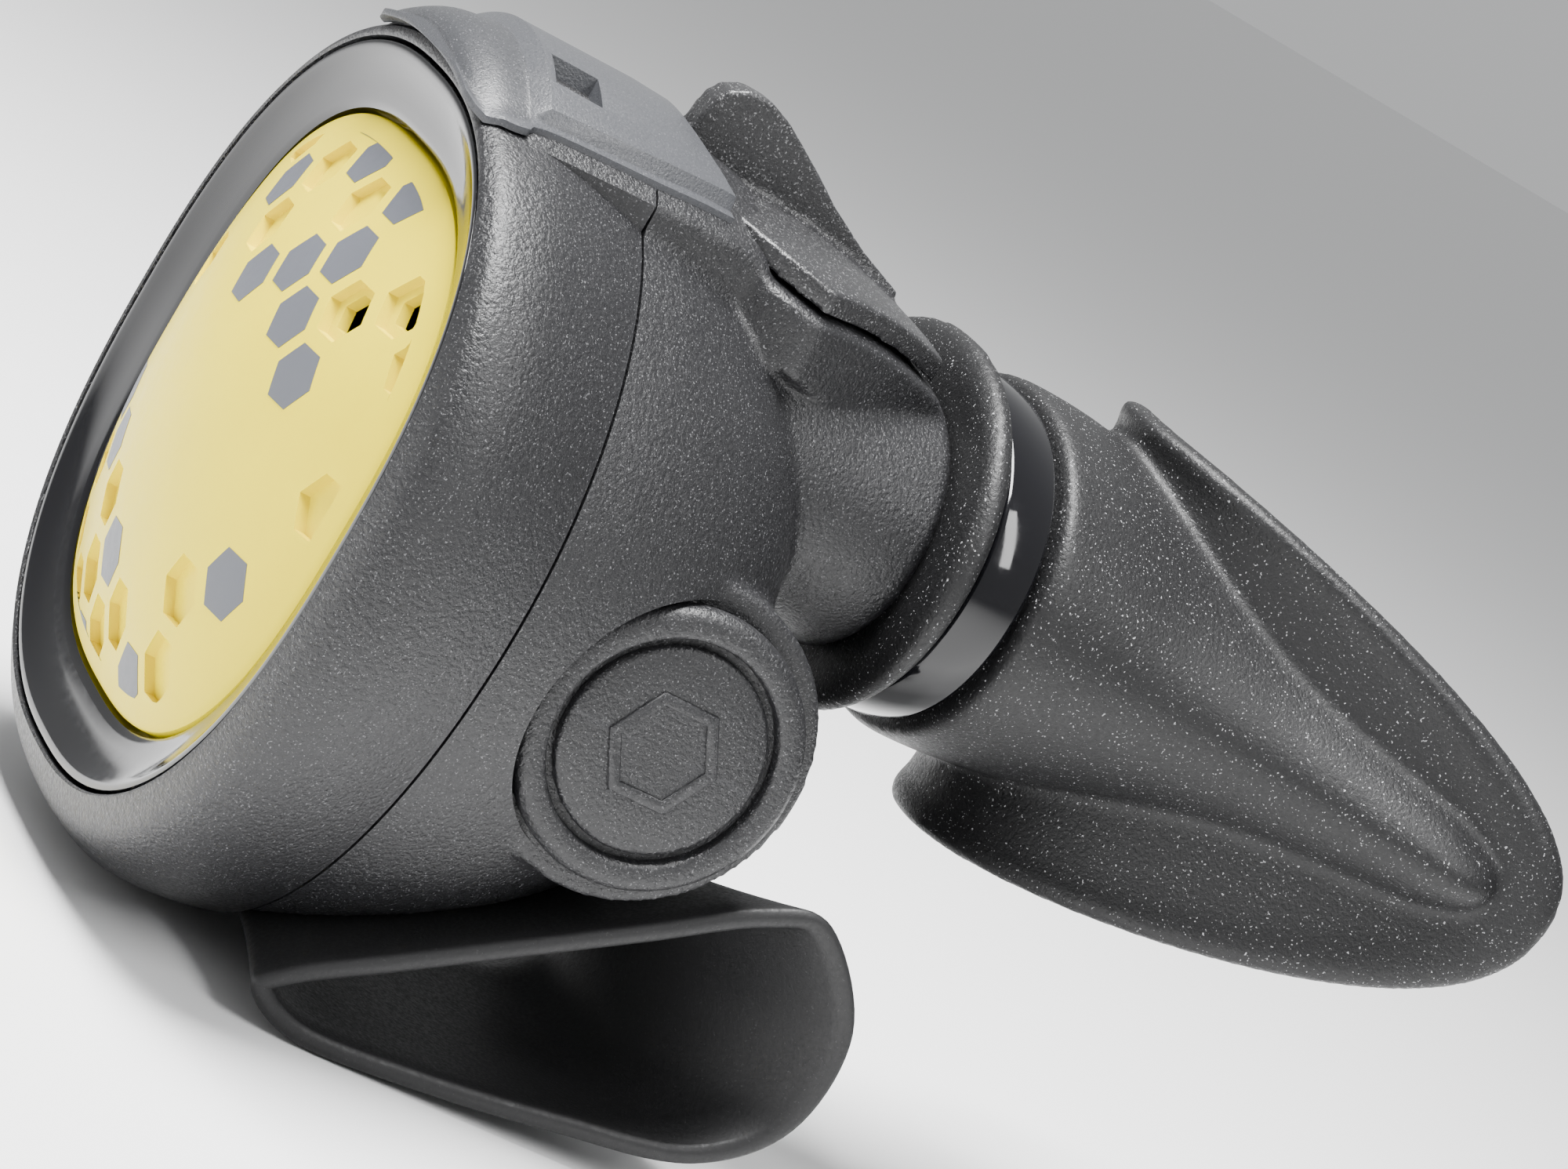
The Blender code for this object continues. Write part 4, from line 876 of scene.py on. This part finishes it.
# Places along Y, what is added to the body's half width and half height there, and its power.
BODY_ROWS = [
    (22.5, 0.0, 0.0, 2.1), (28.1, 0.0, 0.0, 2.1), (28.3, 1.6, 1.5, 2.1), (28.9, 2.6, 2.3, 2.1),
    (30.4, 3.0, 2.6, 2.0), (36.0, 3.2, 2.4, 1.9), (44.0, 3.7, 1.2, 1.8), (53.0, 6.0, -0.2, 1.72),
    (60.0, 9.0, -1.3, 1.7), (66.0, 12.0, -2.9, 1.72), (70.5, 13.9, -4.4, 1.78),
    (73.5, 14.2, -5.8, 1.85), (75.5, 13.4, -7.2, 2.0), (76.8, 11.8, -8.8, 2.0),
]
BORE_ROWS = [(15.0, 17.6, 12.3), (28.3, 17.6, 12.3), (28.4, 14.6, 9.3), (37.5, 11.0, 7.5), (69.5, 9.0, 6.5)]
BODY_IN_SHIELD = 1.0
BEAD_Y = 20.6
BEAD_HALF_LENGTH = 1.8
BEAD_STAND = 4.0
BEAD_STEPS = 12
TAB_SIDES = ((9.5, 24.0), (-24.0, -9.5))
TAB_DEPTHS = (1.0, 12.0)
TAB_HALF_HEIGHT = 2
LUG_DEPTHS = (9.4, 12.3)
LUG_HALF_HEIGHT = 7
LUG_MARGIN = 0.4
MOUTH_VOXEL = 0.6
MOUTH_MELT_PASSES = 6

CLAMP_WIDTH = 19.8
CLAMP_HEIGHT = 14.5
CLAMP_MARGIN = 0.4
CLAMP_HEAD_HALF_HEIGHT = 4


def shield_y(x):
    return SHIELD_FRONT + SHIELD_SWEEP * (np.abs(x) / SHIELD_HALF_WIDTH) ** 2


def shield_offset(x, distance):
    """The place at a distance behind the shield's curve, square to it."""
    slope = (shield_y(x + 0.01) - shield_y(x - 0.01)) / 0.02
    length = np.hypot(slope, 1.0)
    return x - slope / length * distance, shield_y(x) + distance / length


def shield_ring(share, depth):
    """An outline on the lip shield's own curve, at a depth behind its face."""
    outline = (SHIELD_HALF_WIDTH * share, SHIELD_TOP * share, SHIELD_BOTTOM * share)
    flat = oval(0, *outline, SHIELD_POWER, MOUTH_Z)
    x, y = shield_offset(flat[:, 0] - CASE_X, depth)
    return np.stack([CASE_X + x, y, flat[:, 2]], 1)


def shield():
    """The lip shield, with a thicker rounded rim."""
    return loft("shield", [shield_ring(share, depth) for share, depth in catmull(SHIELD_ROWS, 3)])


def band(name, depths, start, stop, half_height):
    """A flat strip that follows the shield's curve between two depths."""
    xs = np.linspace(start, stop, 24)
    near = np.stack(shield_offset(xs, depths[0]), 1)
    far = np.stack(shield_offset(xs[::-1], depths[1]), 1)
    outline = [(CASE_X + x, y) for x, y in np.concatenate([near, far])]
    return prism(name, outline, MOUTH_Z - half_height, MOUTH_Z + half_height, "Z")


def mouth_body(name):
    """The soft body: clamp seat, shoulder, and a wedge with side ridges that runs into the shield."""
    rows = [(y, BODY_WIDTH + wider, BODY_HEIGHT + higher, power) for y, wider, higher, power in BODY_ROWS]
    rings = []
    for y, a, b, power in catmull(rows, 3):
        ring = oval(y, a, b, None, power, MOUTH_Z)
        ring[:, 1] = np.minimum(ring[:, 1], shield_y(ring[:, 0] - CASE_X) + BODY_IN_SHIELD)
        rings.append(ring)
    return loft(name, rings)


def mouth_bead():
    """The rolled bead at the tube's end of the mouthpiece."""
    rings = []
    for i in range(BEAD_STEPS + 1):
        angle = math.pi * i / BEAD_STEPS
        stand = BEAD_STAND * math.sin(angle) ** 0.8
        y = BEAD_Y - BEAD_HALF_LENGTH * math.cos(angle)
        rings.append(oval(y, 19.3 + stand, 14.0 + stand, None, TUBE_POWER, MOUTH_Z))
    return loft("bead", rings)


def make_mouthpiece():
    mouth = mouth_body("soft_mouthpiece")
    tools = [mouth_bead(), shield()]
    for start, stop in TAB_SIDES:
        tools.append(band("tab", TAB_DEPTHS, start, stop, TAB_HALF_HEIGHT))
        tools.append(band("lug", LUG_DEPTHS, start + LUG_MARGIN, stop - LUG_MARGIN, LUG_HALF_HEIGHT))
    melt(mouth, tools, MOUTH_VOXEL, MOUTH_MELT_PASSES)
    bore = loft("mouth_bore", [oval(y, a, b, None, TUBE_POWER, MOUTH_Z) for y, a, b in BORE_ROWS])
    boolean(mouth, [bore], "DIFFERENCE")
    shade(mouth, SOFT_SHARP)
    finish_piece(mouth, RUBBER, "soft_rubber", "casing", "mouthpiece")


def make_clamp():
    w, h = CLAMP_WIDTH, CLAMP_HEIGHT
    start, end = CLAMP_LOW.y, CLAMP_HIGH.y
    profile = [
        (start, 0.0), (start, 0.9), (start + 0.15, 1.2), (start + 0.5, 1.35), (end - 0.5, 1.35),
        (end - 0.15, 1.2), (end, 0.9), (end, 0.0),
    ]
    rows = [oval(y, w + stand, h + stand, None, TUBE_POWER, MOUTH_Z) for y, stand in profile]
    clamp = loft("gloss_clamp", rows, looped=True, sharp=SOFT_SHARP)
    near = (CLAMP_LOW.x, start + CLAMP_MARGIN, MOUTH_Z - CLAMP_HEAD_HALF_HEIGHT)
    far = (CASE_X - w - CLAMP_MARGIN, end - CLAMP_MARGIN, MOUTH_Z + CLAMP_HEAD_HALF_HEIGHT)
    boolean(clamp, [box_solid(near, far)], "UNION")
    shade(clamp, 45)
    finish_piece(clamp, BLACK_GLOSS, "gloss_black", "casing", "mouthpiece_clamp")


# ---------------------------------------------------------------- exhaust tee

# Shares of the tee's half length along the slanted face and of its depth under it.
TEE_OUTLINE = [
    (-0.98, 0.06), (-0.85, 0.3), (-0.45, 0.56), (0.0, 0.8), (0.45, 1.0), (0.8, 0.92), (1.0, 0.55),
    (0.92, 0.1), (0.7, 0.0), (0.3, 0.0), (-0.1, 0.0), (-0.5, 0.0), (-0.85, 0.0),
]
TEE_SPAN = 29.0
TEE_WALL = 1.8
TEE_LIP = 0.6
TEE_STAND = 0.6
TEE_DEPTH = 23.0
TEE_MIDDLE_DEPTH = 0.78
TEE_FRONT = (-31.0, -34.5)
TEE_REAR = (4.0, 18.7)


def tee_section(x, inset):
    """The tee's outline at a place across it, drawn in by an inset."""
    share = min(abs(x) / TEE_SPAN, 1.0)
    depth = TEE_DEPTH * (TEE_MIDDLE_DEPTH + 0.22 * share)
    front = TEE_FRONT[0] + (TEE_FRONT[1] - TEE_FRONT[0]) * share**2
    rear = TEE_REAR[0] + (TEE_REAR[1] - TEE_REAR[0]) * share**2
    centre, half = (front + rear) / 2, (rear - front) / 2
    loop = catmull([(s * half, t * depth) for s, t in TEE_OUTLINE], 9, closed=True)
    along = np.roll(loop, -1, 0) - np.roll(loop, 1, 0)
    along /= np.linalg.norm(along, axis=1)[:, None] + 1e-9
    loop = loop + np.stack([along[:, 1], -along[:, 0]], 1) * inset
    return [slant_point(centre + s, SLANT_OFFSET + TEE_STAND + t, x) for s, t in loop]


def make_tee():
    end = TEE_SPAN - TEE_LIP
    stations = np.linspace(-end, end, 33)
    turns = [(math.pi * i / 6) for i in range(1, 6)]
    lip = [(TEE_LIP * math.sin(a), TEE_WALL / 2 * (1 - math.cos(a))) for a in turns]
    rings = [tee_section(x, 0.0) for x in stations]
    rings += [tee_section(end + out, inset) for out, inset in lip]
    rings += [tee_section(x, TEE_WALL) for x in stations[::-1]]
    rings += [tee_section(-end - out, inset) for out, inset in lip[::-1]]
    tee = loft("soft_tee", rings, looped=True, sharp=60)
    finish_piece(tee, TEE_RUBBER, "soft_rubber", "casing", "exhaust_tee")


# ---------------------------------------------------------------- saddle and flow lever

# Places along Y, half widths, and heights of the middle.
SADDLE_ROWS = [
    (-36.6, 13.0, 40.2), (-35.8, 15.0, 41.2), (-34.0, 16.5, 42.2), (-31.6, 16.7, 42.6),
    (-29.6, 15.4, 42.8), (-18.4, 14.6, 42.9), (-13.0, 13.8, 42.7), (-8.0, 12.8, 42.1), (-4.0, 12.4, 41.2),
]
# Places along Y, half widths, and how far the plateau stands above the saddle.
PLATEAU_ROWS = [
    (-31.4, 14.4, -0.4), (-29.8, 14.4, 1.1), (-18.4, 13.6, 1.15), (-12.0, 12.6, 1.15), (-6.0, 11.6, 1.1),
]
# Places along Y and half widths.
TRAY_ROWS = [(-34.4, 17.2), (-18.4, 16.6), (-12.0, 15.9), (-5.0, 15.0)]
ARCH_POINTS = 41
ARCH_DROP = 4.4
ARCH_HALF_WIDTH = 15.5
SADDLE_THICKNESS = 0.6
SADDLE_EDGE = 0.45
PLATEAU_FLARE = 0.7
PLATEAU_ROOT = -1.2
LEVER_ROOM_RADIUS = 19.4
WINDOW = (54.5, -26.8)
WINDOW_CORNERS = [(-2.4, -2.2), (2.2, -2.4), (2.4, 2.2), (-2.2, 2.4)]
WINDOW_FLOOR = 40.6
LEVER_THICKNESS = 2.0
SHAFT_RADIUS = 2.4
SHAFT_SPAN = (-15.4, -1)
FIN_OUTLINE = [
    (-16.9, -2.4), (-16.9, 3.6), (-16.2, 5.0), (-14.6, 6.1), (-12.5, 6.4), (-10.0, 5.9), (-7.5, 5.0),
    (-4.6, 3.9), (-1.8, 2.7), (3.0, 1.2), (8.0, 0.2), (8.0, -1.0),
]
FIN_SPAN = (-2.2, 1.2)


def case_height(x, y):
    """The height of the casing's skin at a place on its top."""
    if y < PARTING_Y:
        share = min(max((PARTING_Y - y) / (PARTING_Y - RIM_Y), 0), 1)
        swell = np.interp(share, *zip(*COVER_SWELL))
        w = CASE_HALF_WIDTH + (RIM_HALF_WIDTH - CASE_HALF_WIDTH) * share + BULGE * swell
        top = CASE_TOP + UPPER_BULGE * BULGE * swell
        power = CASE_POWER + (RIM_POWER - CASE_POWER) * share
    else:
        rows = bowl_rows()
        w = np.interp(y, rows[:, 0], rows[:, 1])
        top = np.interp(y, rows[:, 0], rows[:, 2])
        power = CASE_POWER
    return CASE_Z + top * (1 - min(abs(x / w), 0.999) ** power) ** (1 / power)


def saddle_top(y):
    rows = catmull(SADDLE_ROWS, 6)
    return np.interp(y, rows[:, 0], rows[:, 2])


def arch_drop(xs):
    return ARCH_DROP * (xs / ARCH_HALF_WIDTH) ** 2


def arch(y, half, stand):
    """A line across the top of the saddle, from side to side."""
    xs = np.linspace(-1, 1, ARCH_POINTS) * half
    return xs, saddle_top(y) + stand - arch_drop(xs)


def arch_ring(y, under_xs, under, over_xs, over):
    """A ring across the case, between a lower and an upper line."""
    low = np.stack([CASE_X + under_xs, np.full(ARCH_POINTS, y), under], 1)
    high = np.stack([CASE_X + over_xs, np.full(ARCH_POINTS, y), over], 1)
    return np.concatenate([low, high[::-1]])


def make_saddle():
    rings = []
    for y, half in catmull(SADDLE_ROWS, 6)[:, :2]:
        xs, over = arch(y, half, 0.0)
        under = np.array([case_height(x, y) + GAP for x in xs])
        rings.append(arch_ring(y, xs, under, xs, np.maximum(over, under + SADDLE_THICKNESS)))
    saddle = loft("top_saddle", rings, sharp=30)
    rings = []
    for y, half, stand in PLATEAU_ROWS:
        xs, over = arch(y, half, stand)
        foot, base = arch(y, half + PLATEAU_FLARE, PLATEAU_ROOT)
        rings.append(arch_ring(y, foot, base, xs, over))
    plateau = loft("plateau", rings, sharp=20)
    room = cylinder("room", LEVER_ROOM_RADIUS, (-20, 20), PIVOT, PIVOT_AXIS, 120)
    corners = [(WINDOW[0] + x, WINDOW[1] + y) for x, y in WINDOW_CORNERS]
    boolean(saddle, [plateau], "UNION")
    boolean(saddle, [room, prism("window", corners, WINDOW_FLOOR, 50, "Z")], "DIFFERENCE")
    edge = saddle.modifiers.new("edge", "BEVEL")
    edge.width = SADDLE_EDGE * MM
    edge.segments = 3
    edge.limit_method = "ANGLE"
    edge.angle_limit = math.radians(38)
    bake(saddle)
    shade(saddle, 35)
    finish_piece(saddle, SATIN, "moulded_grey", "casing", "saddle")


def tray(name, start, stop):
    """The raised dark border on which the saddle sits."""
    rings = []
    for y in np.linspace(start, stop, 14):
        half = np.interp(y, *zip(*TRAY_ROWS))
        xs = np.linspace(-half, half, ARCH_POINTS)
        over = saddle_top(y) - arch_drop(xs) - 0.5
        under = np.array([case_height(x, y) - 1.0 for x in xs])
        rings.append(arch_ring(y, xs, under, xs, np.maximum(over, under + 0.2)))
    return loft(name, rings)


def fin():
    solid = prism("fin", FIN_OUTLINE, *FIN_SPAN, "X")
    solid.location = PIVOT * MM
    solid.rotation_euler = (-PIVOT_TILT, 0, 0)
    bpy.context.view_layer.update()
    return solid


def make_lever():
    under = list(reversed(dome_profile(DISC_RADIUS, -LEVER_THICKNESS)))
    profile = [(0, 0), *dome_profile(DISC_RADIUS, 0.0), *under, (0, -LEVER_THICKNESS)]
    lever = lever_shape("thumb_lever", profile, 0)
    shaft = cylinder("shaft", SHAFT_RADIUS, SHAFT_SPAN, PIVOT, PIVOT_AXIS, 48)
    melt(lever, [fin(), shaft], 0.3, 4)
    finish_piece(lever, LEVER_GREY, "moulded_grey", "flow", "flow_lever")


# ---------------------------------------------------------------- the rest

PAINTS = {
    "steel": STEEL, "plated_brass": PLATED, "seal_rubber": SEAL, "membrane": CLEAR,
    "moulded_grey": SATIN, "case_plastic": CASING, "soft_rubber": RUBBER,
    "gloss_black": BLACK_GLOSS, "purge_yellow": YELLOW,
}
CAMERA_LENS = 126
CAMERA_SENSOR = 36
CAMERA_PLACE = (0.4726, -0.1952, 0.0821)
CAMERA_RIGHT = (0.3141, 0.7994, 0.5121)
CAMERA_BACK = (0.8852, -0.4415, 0.1463)
FLOOR_COLOUR = (0.86, 0.86, 0.86)
FLOOR_SIZE = 12
FLOOR_DROP = 0.0002
SKY_COLOUR = (0.95, 0.96, 0.97, 1)
SKY_STRENGTH = 0.55


def paint_inner_nodes():
    for row in frame["record"]["subparts"]:
        node = frame["nodes"][row["node"]]
        node.data.materials.clear()
        node.data.materials.append(PAINTS[row["material_slot"]])


def make_camera():
    """The camera, and its own directions right, up and back."""
    data = bpy.data.cameras.new("camera")
    data.lens = CAMERA_LENS
    data.sensor_width = CAMERA_SENSOR
    camera = bpy.data.objects.new("camera", data)
    bpy.context.scene.collection.objects.link(camera)
    back = Vector(CAMERA_BACK).normalized()
    up = back.cross(Vector(CAMERA_RIGHT).normalized()).normalized()
    right = up.cross(back)
    turn = Matrix((right, up, back)).transposed().to_4x4()
    camera.matrix_world = Matrix.Translation(CAMERA_PLACE) @ turn
    bpy.context.scene.camera = camera
    return right, up, back


def area_light(name, place, target, size, power):
    data = bpy.data.lights.new(name, "AREA")
    data.shape = "RECTANGLE"
    data.size, data.size_y = size
    data.energy = power
    light = bpy.data.objects.new(name, data)
    light.location = place
    light.rotation_euler = (Vector(place) - Vector(target)).to_track_quat("Z", "Y").to_euler()
    bpy.context.scene.collection.objects.link(light)


def make_stage(right, up, back):
    low, high = CAD_BOX
    middle = (low + high) / 2
    floor_place = (middle.x, middle.y, low.z - FLOOR_DROP)
    bpy.ops.mesh.primitive_plane_add(size=FLOOR_SIZE, location=floor_place)
    floor = bpy.context.object
    floor.name = "floor"
    floor.data.materials.append(shader_of("pale_floor", FLOOR_COLOUR, 0.9)[0])
    world = bpy.data.worlds.new("studio")
    world.use_nodes = True
    sky = world.node_tree.nodes["Background"]
    sky.inputs["Color"].default_value = SKY_COLOUR
    sky.inputs["Strength"].default_value = SKY_STRENGTH
    bpy.context.scene.world = world
    key = middle + up * 0.45 + right * 0.12 + back * 0.12
    side = middle + right * 0.45 + up * 0.15 + back * 0.35
    front = middle + back * 0.4 - right * 0.45 + up * 0.25
    area_light("key", key, middle, (0.3, 0.2), 12)
    area_light("side", side, middle, (0.12, 0.4), 2.5)
    area_light("front", front, middle, (0.3, 0.3), 0.7)


def main():
    make_stage(*make_camera())
    paint_inner_nodes()
    make_case()
    make_cover()
    make_bezel()
    make_button()
    make_print()
    make_cap()
    make_barrel()
    make_nut()
    make_mouthpiece()
    make_clamp()
    make_tee()
    make_saddle()
    make_lever()


main()
